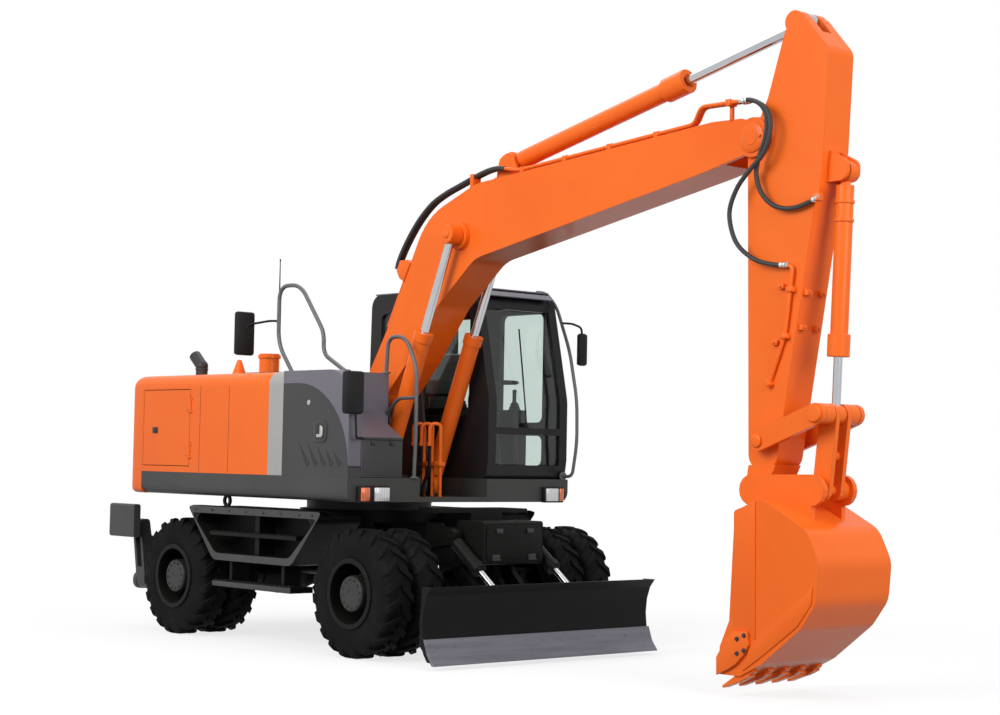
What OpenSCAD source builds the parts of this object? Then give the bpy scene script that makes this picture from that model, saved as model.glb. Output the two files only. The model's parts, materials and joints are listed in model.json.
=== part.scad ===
// Wheeled excavator with twin tyres, a front dozer blade, rear stabilisers and a one-piece boom.
// The machine is laid out from its swing axis, x forward, y to the left, z up from the ground,
// and the whole of it is then shifted so that the middle of its footprint is at the origin.

/* [Wheels and axles] */
// Distance between the two axles
wheelbase = 2600; // [2500:10:2800]
// Distance of the rear axle behind the swing axis
rear_axle_back = 1250; // [1150:10:1300]
// Width over the outer tyres
overall_w = 2500; // [2480:5:2560]
// Tyre diameter over the lugs
tyre_d = 1050; // [1000:5:1070]
// Width of one tyre
tyre_w = 275; // [250:5:290]
// Height of a tyre's lugs
tyre_lug_h = 26; // [16:1:34]
// Gap between the twin tyres
twin_gap = 45; // [30:1:60]
// Rim diameter under the tyre bead
rim_d = 524; // [500:2:540]
// Thickness of a rim barrel
rim_wall = 16; // [10:1:22]
// Diameter of the planetary hub
hub_d = 330; // [280:5:360]
// Diameter of a wheel spindle
spindle_d = 160; // [120:2:180]
// Diameter of an axle tube
axle_d = 200; // [160:5:220]
// Diameter of the differential housing
diff_d = 380; // [340:5:385]
// Distance of a kingpin inside the inner tyre's inner face
kingpin_in = 35; // [25:5:55]
// Diameter of a kingpin
kingpin_d = 80; // [60:2:90]
// Distance of the track rod behind the front axle
track_arm = 260; // [250:5:270]
// Diameter of the track rod
track_rod_d = 46; // [36:1:56]

/* [Chassis] */
// Width of the main frame beam
beam_w = 690; // [620:10:700]
// Height of the underside of the main frame beam
beam_z = 735; // [730:5:760]
// Height of the top of the main frame beam
beam_top = 1060; // [1020:5:1100]
// Diameter of the swing turret
turret_d = 1240; // [1100:10:1300]
// Height of the slew ring's seat
ring_z = 1165; // [1140:5:1190]
// Height of the slew ring
ring_h = 95; // [80:1:110]
// Outer diameter of the slew ring
ring_d = 1120; // [1000:10:1180]
// Length of the side step box at its top
step_top_l = 2000; // [1800:10:2000]
// Length of the side step box at its bottom
step_bottom_l = 1170; // [1000:10:1250]
// Height of the top edge of the step box
step_top_z = 1165; // [1120:5:1180]
// Height of the bottom edge of the step box
step_bottom_z = 700; // [660:5:740]
// Clearance of the step box from the swing turret
step_gap = 120; // [100:5:160]

/* [Blade] */
// Width of the dozer blade
blade_w = 2480; // [2400:10:2500]
// Height of the dozer blade
blade_h = 600; // [540:5:640]
// Thickness of the blade's curved plate
blade_t = 40; // [25:1:60]
// Front of the cutting edge, ahead of the swing axis
blade_front = 2420; // [2400:5:2480]
// Clear height under the cutting edge
blade_lift = 35; // [20:1:60]
// Height of the blade's pivot pins
blade_pivot_z = 440; // [420:5:460]
// Place of the blade's pivot pins, ahead of the swing axis
blade_pivot_x = 1790; // [1770:5:1810]

/* [Stabilisers] */
// Height of a stabiliser's pivot
stab_pivot_z = 420; // [400:5:450]
// Distance of a stabiliser's pivot inside the width over the tyres
stab_in = 240; // [220:5:270]
// Middle of a stabiliser's leg behind the swing axis
stab_back = 2075; // [2060:5:2100]
// Length of a stabiliser's pad along the machine
stab_pad_l = 430; // [380:5:450]
// Height of the pad as it is stowed
stab_pad_h = 310; // [260:5:330]

/* [Upper structure] */
// Width of the upper structure
house_w = 2480; // [2420:10:2500]
// Height of the top of the engine house
house_top = 2345; // [2300:5:2400]
// Depth of the deck with its side rails
deck_h = 200; // [170:5:220]
// Front of the deck, ahead of the swing axis
deck_front = 1285; // [1250:5:1300]
// Length of the counterweight with the gap before it
tail_l = 530; // [500:5:560]
// Front end of the engine house, ahead of the swing axis
house_front = 160; // [140:5:180]
// Thickness of the panels and doors
panel_t = 40; // [25:1:50]
// Radius along the top edges of the house
house_r = 110; // [80:5:140]
// Tail radius of the counterweight
tail_r = 2380; // [2340:5:2420]

/* [Cab] */
// Length of the cab
cab_l = 1700; // [1640:10:1720]
// Clearance of the cab from the left boom cylinder
cab_gap = 41; // [36:1:70]
// Height of the cab above the deck
cab_h = 1668; // [1600:5:1700]
// Rear wall of the cab behind the swing axis
cab_back = 430; // [400:5:440]
// Wall thickness of the cab
cab_wall = 60; // [50:1:80]
// Thickness of the window glass
glass_t = 8; // [6:1:12]

/* [Boom] */
// Distance of the boom's middle plane to the right of the swing axis
boom_right = 100; // [90:5:110]
// Length of the boom between its foot pin and its tip pin
boom_length = 4640; // [4500:10:4800]
// Width of the boom
boom_w = 360; // [340:5:365]
// Boom angle as parked
boom_angle = 22; // [20:1:24]
// Place of the boom's foot pin, ahead of the swing axis
boom_foot_x = 420; // [410:5:440]
// Height of the boom's foot pin
boom_foot_z = 2250; // [2200:5:2280]
// Diameter of the main pins
pin_d = 90; // [70:2:100]

/* [Arm and bucket] */
// Length of the arm between its pins
arm_length = 2540; // [2500:10:2600]
// Width of the arm
arm_w = 280; // [260:5:284]
// Arm angle as parked
arm_angle = -89.3; // [-91:0.1:-88]
// Width of the bucket
bucket_w = 800; // [700:10:1000]
// Reach of the bucket behind its mouth
bucket_depth = 800; // [760:5:840]
// Height of the bucket from its pin to its lip
bucket_h = 1300; // [1250:5:1310]
// Thickness of the bucket's plates
bucket_t = 22; // [16:1:30]
// Number of teeth
tooth_count = 5; // [3:1:7]

/* [Cylinders] */
// Outer diameter of the boom cylinders
boom_cyl_d = 146; // [130:2:150]
// Distance of each boom cylinder from the boom's middle plane
boom_cyl_y = 280; // [275:1:284]
// Outer diameter of the arm cylinder
arm_cyl_d = 150; // [130:2:160]
// Outer diameter of the bucket cylinder
bucket_cyl_d = 126; // [110:2:134]
// Outer diameter of the blade and stabiliser cylinders
small_cyl_d = 110; // [90:2:120]

/* [Hidden] */

$fn = 48;

// Overrun of every cut past the face that it opens
overrun = 10;
// Running clearance of a pin or rod in its bore
fit = 0.05;
// Clearance of a rod in its barrel and of a seated ring or pane
seat_gap = 0.3;
// Side clearance of moving pieces
side_gap = 6;
// Segments of a rounded corner
round_steps = 6;

// Colours
orange = "#F0702A";
black = "#1C1C1A";
dark_grey = "#4A4B4A";
mid_grey = "#78777F";
light_grey = "#A6A4A2";
chrome = "#D8DADC";
rubber = "#2C2C2E";
glass_tint = [0.75, 0.83, 0.85, 0.35];

// Main places
front_axle_x = wheelbase - rear_axle_back;
axle_z = tyre_d / 2;
half_w = overall_w / 2;
outer_tyre_y = half_w - tyre_w / 2;
inner_tyre_y = outer_tyre_y - tyre_w - twin_gap;
twin_mid_y = (outer_tyre_y + inner_tyre_y) / 2;
tyre_inner_face = inner_tyre_y - tyre_w / 2;
kingpin_y = tyre_inner_face - kingpin_in;
stab_pivot_y = half_w - stab_in;
beam_half = beam_w / 2;
ring_top = ring_z + ring_h;
deck_z = ring_top + seat_gap;
deck_top = deck_z + deck_h;
house_half = house_w / 2;
house_back = tail_r - tail_l;
boom_y = -boom_right;
cab_y1 = house_half - side_gap;
cab_y0 = boom_y + boom_cyl_y + boom_cyl_d / 2 + cab_gap;
cab_w = cab_y1 - cab_y0;
foot = [boom_foot_x, boom_foot_z];
tip = foot + boom_length * [cos(boom_angle), sin(boom_angle)];
bucket_pin = tip + arm_length * [cos(arm_angle), sin(arm_angle)];
// Share of the stabiliser's pad behind the leg's middle
pad_back_share = 0.73;
origin_x = (bucket_pin.x + bucket_depth - stab_back - stab_pad_l * pad_back_share) / 2;

// Pins of the boom in its own frame, as shares of its length
boom_cyl_share = [0.321, 0.161];
arm_cyl_base_share = [0.46, 0.241];
// Pins of the arm in its own frame, as shares of its length
arm_cyl_rod_share = [-0.313, 0.138];
bucket_cyl_base_share = [0.121, 0.278];
idler_pivot_share = [0.863, 0.037];
idler_end_share = [0.79, 0.243];
// Pin of the bucket's link, as shares of the bucket's depth
link_pin_share = [0.6875, 0.0125];

function turned(v, a) = [v.x * cos(a) - v.y * sin(a), v.x * sin(a) + v.y * cos(a)];
function on_boom(share) = foot + turned(share * boom_length, boom_angle);
function on_arm(share) = tip + turned(share * arm_length, arm_angle);
boom_cyl_pin = on_boom(boom_cyl_share);
arm_cyl_base = on_boom(arm_cyl_base_share);
arm_cyl_end = on_arm(arm_cyl_rod_share);
bucket_cyl_base = on_arm(bucket_cyl_base_share);
idler_pivot = on_arm(idler_pivot_share);
idler_end = on_arm(idler_end_share);
link_pin = bucket_pin + link_pin_share * bucket_depth;

// Helpers
function xy(p) = [p.x, p.y];
function unit(v) = v / norm(v);
function arc_points(a, b, c, r, n) =
    let (u = unit(a - b), v = unit(c - b), half = acos(u * v) / 2)
    let (mid = b + unit(u + v) * r / sin(half))
    let (p = b + u * r / tan(half) - mid, q = b + v * r / tan(half) - mid)
    let (start = atan2(p.y, p.x), turn = atan2(p.x * q.y - p.y * q.x, p * q))
    [for (k = [0 : n]) mid + r * [cos(start + turn * k / n), sin(start + turn * k / n)]];
// A closed outline of [x, y, radius] corners with each corner rounded
function rounded(p, n = round_steps) = [
    for (i = [0 : len(p) - 1])
        let (a = xy(p[(i + len(p) - 1) % len(p)]), b = xy(p[i]), c = xy(p[(i + 1) % len(p)]))
        each (p[i][2] == 0 ? [b] : arc_points(a, b, c, p[i][2], n))
];
// Corners given as shares [along, across, radius] of a length, a height and a radius
function scaled(shares, l, h, r) = [for (s = shares) [s.x * l, s.y * h, s[2] * r]];
function box_outline(x0, x1, z0, z1, r) = [[x0, z0, r], [x1, z0, r], [x1, z1, r], [x0, z1, r]];

// Outline in the x-z plane, with its width along y about y
module slab(points, w, y = 0) {
    translate([0, y + w / 2, 0])
        rotate([90, 0, 0])
            linear_extrude(height = w) polygon(points);
}
// Outline in the y-z plane, drawn from x0 to x1
module rail(points, x0, x1) {
    translate([x0, 0, 0])
        rotate([90, 0, 90])
            linear_extrude(height = x1 - x0) polygon(points);
}
module box(x0, x1, y0, y1, z0, z1) {
    translate([x0, y0, z0]) cube([x1 - x0, y1 - y0, z1 - z0]);
}
// Round bar between two points
module bar(p, q, d) {
    v = q - p;
    translate(p)
        rotate([0, acos(v.z / norm(v)), atan2(v.y, v.x)])
            cylinder(h = norm(v), d = d);
}
// Bent tube through a list of points, with a ball at each bend
elbow_share = 1.06;
module tube(points, d) {
    for (i = [0 : len(points) - 2]) bar(points[i], points[i + 1], d);
    for (i = [1 : 1 : len(points) - 2]) translate(points[i]) sphere(d = d * elbow_share);
}
// Round pin along y, from y0 to y1
module pin_y(x, z, y0, y1, d) {
    translate([x, y0, z]) rotate([-90, 0, 0]) cylinder(h = y1 - y0, d = d);
}
// Round pin along x, from x0 to x1
module pin_x(y, z, x0, x1, d) {
    translate([x0, y, z]) rotate([0, 90, 0]) cylinder(h = x1 - x0, d = d);
}
module both_sides() {
    children();
    mirror([0, 1, 0]) children();
}
// Everything is drawn about the swing axis and shifted to the middle of the footprint
module placed() {
    translate([-origin_x, 0, 0]) children();
}
module boom_frame() {
    translate([foot.x, boom_y, foot.y]) rotate([0, -boom_angle, 0]) children();
}
module arm_frame() {
    translate([tip.x, boom_y, tip.y]) rotate([0, -arm_angle, 0]) children();
}
module bucket_frame() {
    translate([bucket_pin.x, boom_y, bucket_pin.y]) children();
}

// Hydraulic cylinders
// A barrel lies along +x from its base pin, which is across it along y
eye_share = 1.25;
gland_share = 1.14;
gland_l_share = 0.55;
eye_w_share = 0.6;
rod_share = 0.5;
neck_share = 0.62;
module barrel(d, l, bore) {
    eye_d = d * eye_share;
    difference() {
        union() {
            pin_y(0, 0, -d * eye_w_share / 2, d * eye_w_share / 2, eye_d);
            rotate([0, 90, 0]) cylinder(h = l, d = d * eye_w_share);
            translate([eye_d * neck_share, 0, 0]) rotate([0, 90, 0])
                cylinder(h = l - eye_d * neck_share, d = d);
            translate([l - d * gland_l_share, 0, 0])
                rotate([0, 90, 0]) cylinder(h = d * gland_l_share, d = d * gland_share);
        }
        pin_y(0, 0, -d, d, bore + 2 * fit);
        translate([eye_d * barrel_floor_share, 0, 0])
            rotate([0, 90, 0]) cylinder(h = l + overrun, d = d * rod_share + 2 * seat_gap);
    }
}
// The rod's bore starts this share of the eye's diameter from the base pin
barrel_floor_share = 0.72;
// A rod lies along +x, from inside its barrel to the eye at the far pin
module rod(d, from, to, eye_w) {
    eye_d = d * rod_eye_share;
    rotate([0, 90, 0]) translate([0, 0, from]) cylinder(h = to - from, d = d * rod_share);
    pin_y(to, 0, -eye_w / 2, eye_w / 2, eye_d);
}
rod_eye_share = 1.05;
function heading(a, b) = atan2(b.y - a.y, b.x - a.x);

// Chassis
blade_ear_t = 60;
blade_ear_y = 260;
blade_arm_t = 60;
blade_arm_y = blade_ear_y + (blade_ear_t + blade_arm_t) / 2 + side_gap;
blade_pin_d = 70;
blade_cyl_y = 415;
blade_cyl_base = [1640, 985];
blade_cyl_end = [2215, 560];
frame_back = 1850;
frame_front = 1600;
frame_chamfer = 120;
small_pin_d = 50;
top_plate_t = 35;
top_plate_w = 920;
top_plate_z = 1215;
small_eye_w = small_cyl_d * eye_w_share;
module chassis_frame() color(black) placed() {
    slab(rounded([
        [-frame_back, beam_z, frame_chamfer], [frame_front, beam_z, 0],
        [frame_front, beam_top, 0], [-frame_back, beam_top, frame_chamfer],
    ]), beam_w);
    translate([0, 0, beam_z]) cylinder(h = ring_z - beam_z, d = turret_d);
    // Step plate over the front axle
    box(frame_front - beam_half, frame_front, -top_plate_w / 2, top_plate_w / 2,
        top_plate_z - top_plate_t, top_plate_z);
    box(frame_front - beam_half, frame_front, -beam_half / 2, beam_half / 2, beam_top, top_plate_z);
    both_sides() {
        // Ears of the blade's pivots, with their pins
        slab(rounded([
            [frame_front - frame_chamfer, beam_z + overrun, 0],
            [blade_pivot_x - blade_pin_d, blade_pivot_z - blade_pin_d, blade_pin_d],
            [blade_pivot_x + blade_pin_d, blade_pivot_z - blade_pin_d, blade_pin_d],
            [blade_pivot_x + blade_pin_d, blade_pivot_z + blade_pin_d, blade_pin_d],
            [frame_front, beam_z + overrun, 0],
        ]), blade_ear_t, blade_ear_y);
        pin_y(blade_pivot_x, blade_pivot_z, blade_ear_y, blade_arm_y + blade_arm_t / 2 + side_gap,
            blade_pin_d);
        // Ears of the blade's cylinders, with their pins
        slab(rounded([
            [frame_front - beam_half, blade_cyl_base.y - small_cyl_d, 0],
            [blade_cyl_base.x + small_pin_d, blade_cyl_base.y - small_pin_d, small_pin_d],
            [blade_cyl_base.x + small_pin_d, blade_cyl_base.y + small_pin_d, small_pin_d],
            [frame_front - beam_half, blade_cyl_base.y + small_cyl_d, 0],
        ]), blade_cyl_y - beam_half - small_eye_w / 2 - side_gap,
            (blade_cyl_y + beam_half - small_eye_w / 2 - side_gap) / 2);
        pin_y(blade_cyl_base.x, blade_cyl_base.y, beam_half, blade_cyl_y + small_eye_w / 2 + side_gap,
            small_pin_d);
    }
}
ring_bore_share = 0.8;
module slew_ring() color(light_grey) placed() {
    difference() {
        translate([0, 0, ring_z]) cylinder(h = ring_h, d = ring_d);
        translate([0, 0, ring_z - overrun]) cylinder(h = ring_h + 2 * overrun, d = ring_d * ring_bore_share);
    }
}
// Axle housings are revolved about their own line: [distance from the middle, radius] shares
diff_half_share = 0.55;
saddle_l = 300;
saddle_w = 360;
yoke_t = 45;
yoke_reach = 60;
kingpin_boss_h = 240;
spindle_in = 5;
brake_d = 300;
brake_t = 60;
gearbox_l = 520;
gearbox_w = 420;
gearbox_z = 430;
shaft_d = 100;
shaft_z = 585;
axle_end = tyre_inner_face - brake_t;
module axle_housing(reach) {
    rotate([-90, 0, 0]) {
        translate([0, 0, -reach]) cylinder(h = 2 * reach, d = axle_d);
        cylinder(h = 2 * shaft_d, d = diff_d, center = true);
        for (s = [0, 1])
            mirror([0, 0, s]) translate([0, 0, shaft_d])
                cylinder(h = diff_d * diff_half_share, d1 = diff_d, d2 = axle_d * gland_share);
    }
    // Saddle under the frame
    box(-saddle_l / 2, saddle_l / 2, -saddle_w / 2, saddle_w / 2, 0, beam_z - axle_z);
}
module axles() color(black) placed() {
    // Rear axle with its brake drums and spindles
    translate([-rear_axle_back, 0, axle_z]) {
        axle_housing(axle_end);
        both_sides() {
            pin_y(0, 0, axle_end, hub_y - side_gap, brake_d);
            pin_y(0, 0, axle_end, spindle_end, spindle_d);
        }
    }
    // Front axle with its yokes and kingpins
    translate([front_axle_x, 0, axle_z]) {
        axle_housing(kingpin_y - kingpin_d - yoke_reach);
        both_sides() {
            for (s = [-1, 1])
                translate([0, 0, s * (kingpin_boss_h + yoke_t + side_gap) / 2]) {
                    translate([0, kingpin_y, -yoke_t / 2]) cylinder(h = yoke_t, r = yoke_reach);
                    box(-yoke_reach, yoke_reach, kingpin_y - kingpin_d - 2 * yoke_reach, kingpin_y,
                        -yoke_t / 2, yoke_t / 2);
                }
            box(-yoke_reach, yoke_reach, kingpin_y - kingpin_d - 2 * yoke_reach, kingpin_y - kingpin_d - yoke_reach,
                -kingpin_boss_h / 2 - yoke_t, kingpin_boss_h / 2 + yoke_t);
            translate([0, kingpin_y, -kingpin_boss_h / 2 - yoke_t])
                cylinder(h = kingpin_boss_h + 2 * yoke_t, d = kingpin_d);
        }
    }
    // Gearbox under the frame and the two propeller shafts
    box(-gearbox_l / 2, gearbox_l / 2, -gearbox_w / 2, gearbox_w / 2, gearbox_z, beam_z);
    pin_x(0, shaft_z, axle_d / 2 - rear_axle_back, front_axle_x - axle_d / 2, shaft_d);
}
// Knuckle: boss on the kingpin, spindle outwards, arm backwards to the track rod
arm_plate_t = 40;
track_pin_y = kingpin_y - arm_plate_t;
knuckle_flange_d = 260;
knuckle_flange_t = 40;
flange_y = kingpin_y + yoke_reach + side_gap;
hub_y = flange_y + knuckle_flange_t + side_gap;
module knuckle() {
    difference() {
        union() {
            translate([0, kingpin_y, -kingpin_boss_h / 2]) cylinder(h = kingpin_boss_h, r = yoke_reach);
            pin_y(0, 0, kingpin_y, spindle_end, spindle_d);
            pin_y(0, 0, flange_y, flange_y + knuckle_flange_t, knuckle_flange_d);
            box(-track_arm, 0, track_pin_y - arm_plate_t / 2, track_pin_y + arm_plate_t / 2,
                -arm_plate_t, arm_plate_t);
            translate([-track_arm, track_pin_y, -arm_plate_t]) cylinder(h = 2 * arm_plate_t, d = arm_plate_t);
        }
        translate([0, kingpin_y, -kingpin_boss_h]) cylinder(h = 2 * kingpin_boss_h, d = kingpin_d + 2 * fit);
        translate([-track_arm, track_pin_y, -kingpin_boss_h])
            cylinder(h = 2 * kingpin_boss_h, d = track_pin_d + 2 * fit);
    }
}
track_pin_d = 20;
module knuckle_left() color(black) placed() translate([front_axle_x, 0, axle_z]) knuckle();
module knuckle_right() color(black) placed()
    translate([front_axle_x, 0, axle_z]) mirror([0, 1, 0]) knuckle();
track_rod_drop = arm_plate_t + side_gap;
module track_rod() color(dark_grey) placed() translate([front_axle_x - track_arm, 0, axle_z]) {
    drop = -track_rod_drop - track_rod_d / 2;
    pin_y(0, drop, -track_pin_y, track_pin_y, track_rod_d);
    // The left pin is the rod's own; the right eye only lies under its arm
    translate([0, track_pin_y, drop])
        cylinder(h = track_rod_d / 2 + track_rod_drop + arm_plate_t, d = track_pin_d);
    for (s = [-1, 1])
        translate([0, s * track_pin_y, drop - track_rod_d / 2]) cylinder(h = track_rod_d, d = track_rod_d);
}
// A pair of rims with their hub, revolved about the axle line
rim_flange = 20;
rim_flange_t = 16;
disc_t = 40;
hub_out = 90;
spindle_end = twin_mid_y + hub_out - spindle_in;
// Share of a tyre's width from its middle to a rim's flange
rim_half_share = 0.46;
module rim_barrel(y) {
    difference() {
        union() {
            pin_y(0, 0, y - tyre_w / 2, y + tyre_w / 2, rim_d);
            for (s = [-1, 1]) {
                mid = y + s * (tyre_w * rim_half_share + rim_flange_t / 2);
                pin_y(0, 0, mid - rim_flange_t / 2, mid + rim_flange_t / 2, rim_d + 2 * rim_flange);
            }
        }
        pin_y(0, 0, y - tyre_w, y + tyre_w, rim_d - 2 * rim_wall);
    }
}
module rims(x, side) color(black) placed() translate([x, 0, axle_z]) mirror([0, side < 0 ? 1 : 0, 0]) {
    difference() {
        union() {
            rim_barrel(outer_tyre_y);
            rim_barrel(inner_tyre_y);
            pin_y(0, 0, twin_mid_y - disc_t / 2, twin_mid_y + disc_t / 2, rim_d);
            pin_y(0, 0, hub_y, twin_mid_y + hub_out, hub_d);
        }
        pin_y(0, 0, 0, spindle_end + side_gap, spindle_d + 2 * fit);
    }
}
// A tyre is a ring of flats with lugs on both shoulders, four flats to a pair of lugs.
// Its ring of points at one step: [radius, place across]
tyre_steps = 48;
bead_share = 0.44;
bulge_share = 0.35;
shoulder_share = 0.43;
crown_share = 0.35;
function tyre_points(k) =
    let (flat = cos(180 / tyre_steps))
    let (r0 = (rim_d / 2 + seat_gap) / flat, r1 = tyre_d / 2 / flat)
    let (bulge = r0 + bulge_share * (r1 - r0), low = r1 - tyre_lug_h)
    [
        [r0, bead_share * tyre_w], [bulge, tyre_w / 2], [k % 4 < 2 ? r1 : low, shoulder_share * tyre_w],
        [r1 - crown_share * tyre_lug_h, 0],
        [k % 4 < 2 ? low : r1, -shoulder_share * tyre_w], [bulge, -tyre_w / 2], [r0, -bead_share * tyre_w],
    ];
function tyre_face(k, j, n) =
    let (this = k * n, next = (k + 1) % tyre_steps * n, i = (j + 1) % n)
    let (a = this + j, b = this + i, c = next + i, d = next + j)
    j == 0 || j > n - 3 ? [[a, b, c, d]] : [[a, b, c], [a, c, d]];
module tyre_ring(y) {
    n = len(tyre_points(0));
    translate([0, y, 0])
        polyhedron(
            [for (k = [0 : tyre_steps - 1]) let (a = (k - 0.5) * 360 / tyre_steps - 90)
                for (q = tyre_points(k)) [q.x * cos(a), q.y, q.x * sin(a)]],
            [for (k = [0 : tyre_steps - 1]) for (j = [0 : n - 1]) each tyre_face(k, j, n)]);
}
module tyres(x, side) color(rubber) placed() translate([x, 0, axle_z])
    for (y = [inner_tyre_y, outer_tyre_y]) tyre_ring(side * y);
module rims_front_left() rims(front_axle_x, 1);
module rims_front_right() rims(front_axle_x, -1);
module rims_rear_left() rims(-rear_axle_back, 1);
module rims_rear_right() rims(-rear_axle_back, -1);
module tyres_front_left() tyres(front_axle_x, 1);
module tyres_front_right() tyres(front_axle_x, -1);
module tyres_rear_left() tyres(-rear_axle_back, 1);
module tyres_rear_right() tyres(-rear_axle_back, -1);

// Side step boxes: an open trapezoid frame with treads, on brackets from the frame
step_mid_x = -90;
step_inset = 40;
step_y1 = half_w - step_inset;
step_y0 = turret_d / 2 + step_gap;
step_depth = step_y1 - step_y0;
step_rail = 60;
sill_z = 470;
sill_l = 1170;
sill_t = 50;
bracket_t = 40;
tread_t = 30;
step_bracket_x = step_bottom_l / 2 + step_rail;
function step_outline(inset) = [
    [step_mid_x - step_top_l / 2 + inset, step_top_z - inset, step_rail],
    [step_mid_x - step_bottom_l / 2 + inset / 2, step_bottom_z + inset, step_rail],
    [step_mid_x + step_bottom_l / 2 - inset / 2, step_bottom_z + inset, step_rail],
    [step_mid_x + step_top_l / 2 - inset, step_top_z - inset, step_rail],
];
module step_boxes() color(black) placed() both_sides() {
    difference() {
        slab(rounded(step_outline(0)), step_depth, (step_y0 + step_y1) / 2);
        translate([0, step_depth / 2, 0])
            slab(rounded(step_outline(step_rail)), step_depth, (step_y0 + step_y1) / 2);
    }
    // Treads and the upright between them
    tread_z = (step_top_z + step_bottom_z) / 2;
    box(step_mid_x - step_bottom_l / 2 - step_rail, step_mid_x + step_bottom_l / 2 + step_rail,
        step_y0 + step_depth / 2 - overrun, step_y1, tread_z - tread_t / 2, tread_z + tread_t / 2);
    box(step_mid_x - step_rail / 2, step_mid_x + step_rail / 2, step_y0 + step_depth / 2 - overrun,
        step_y1 - step_rail, step_bottom_z, step_top_z);
    // Low step on two hangers
    box(step_mid_x - sill_l / 2, step_mid_x + sill_l / 2, step_y0 + step_depth / 2, step_y1,
        sill_z, sill_z + sill_t);
    for (s = [-1, 1])
        box(step_mid_x + s * sill_l / 3 - bracket_t / 2, step_mid_x + s * sill_l / 3 + bracket_t / 2,
            step_y0 + step_depth / 2, step_y1 - step_rail, sill_z, step_bottom_z + step_rail);
    // Brackets to the frame
    for (s = [-1, 1])
        box(step_mid_x + s * step_bracket_x - bracket_t / 2, step_mid_x + s * step_bracket_x + bracket_t / 2,
            beam_half, step_y0 + overrun, beam_z + bracket_t, beam_top - bracket_t);
}
// Locker in the middle of the front
locker_w = 660;
locker_h = 380;
locker_l = 340;
locker_r = 25;
module front_locker() color(black) placed() {
    slab(rounded(box_outline(frame_front, frame_front + locker_l, beam_top + frame_chamfer / 2 - locker_h + locker_r,
        beam_top + frame_chamfer / 2, locker_r)), locker_w);
}
// Rear crossbeam that carries the stabilisers
stab_cyl_base = [100, 790];
stab_eye = [-110, 300];
stab_pin_d = 70;
stab_leg_t = 150;
stab_ear_t = 50;
stab_ear_x = stab_leg_t / 2 + side_gap;
stab_web_y = 600;
stab_crown_y = 200;
lug_y = 420;
lug_z = 520;
lug_out = 70;
lug_r = 60;
lug_t = 40;
lug_hole_d = 60;
module stabiliser_beam() color(black) placed() translate([-stab_back, 0, 0]) {
    // Two plates that carry the pivots, with the cylinders between them
    for (s = [-1, 1])
        translate([s * (stab_ear_x + stab_ear_t / 2), 0, 0])
            rail(rounded([
                [-stab_pivot_y - stab_pin_d, stab_pivot_z - stab_pin_d, stab_pin_d],
                [stab_pivot_y + stab_pin_d, stab_pivot_z - stab_pin_d, stab_pin_d],
                [stab_pivot_y + stab_pin_d, stab_pivot_z + stab_pin_d, stab_pin_d],
                [stab_crown_y, stab_cyl_base.y + stab_pin_d, stab_pin_d],
                [-stab_crown_y, stab_cyl_base.y + stab_pin_d, stab_pin_d],
                [-stab_pivot_y - stab_pin_d, stab_pivot_z + stab_pin_d, stab_pin_d],
            ]), -stab_ear_t / 2, stab_ear_t / 2);
    // Web under the cylinders
    box(-stab_ear_x - overrun, stab_ear_x + overrun, -stab_web_y, stab_web_y, stab_pivot_z - stab_pin_d,
        stab_pivot_z + stab_pin_d);
    // Seat against the frame
    box(stab_ear_x, stab_back - frame_back, -stab_crown_y, stab_crown_y, beam_z + frame_chamfer - stab_pin_d,
        stab_cyl_base.y + stab_pin_d);
    // Lashing lugs
    both_sides() difference() {
        slab(capsule([-stab_ear_x - stab_ear_t, lug_z], [-stab_ear_x - stab_ear_t - lug_out, lug_z], lug_r),
            lug_t, lug_y);
        box(-stab_ear_x - stab_ear_t + overrun, 0, lug_y - lug_t, lug_y + lug_t, 0, beam_top);
        pin_y(-stab_ear_x - stab_ear_t - lug_out, lug_z, lug_y - lug_t, lug_y + lug_t, lug_hole_d);
    }
    both_sides() {
        pin_x(stab_pivot_y, stab_pivot_z, -stab_ear_x - stab_ear_t, stab_ear_x + stab_ear_t, stab_pin_d);
        pin_x(stab_cyl_base.x, stab_cyl_base.y, -stab_ear_x - stab_ear_t, stab_ear_x + stab_ear_t, small_pin_d);
    }
}
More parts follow.
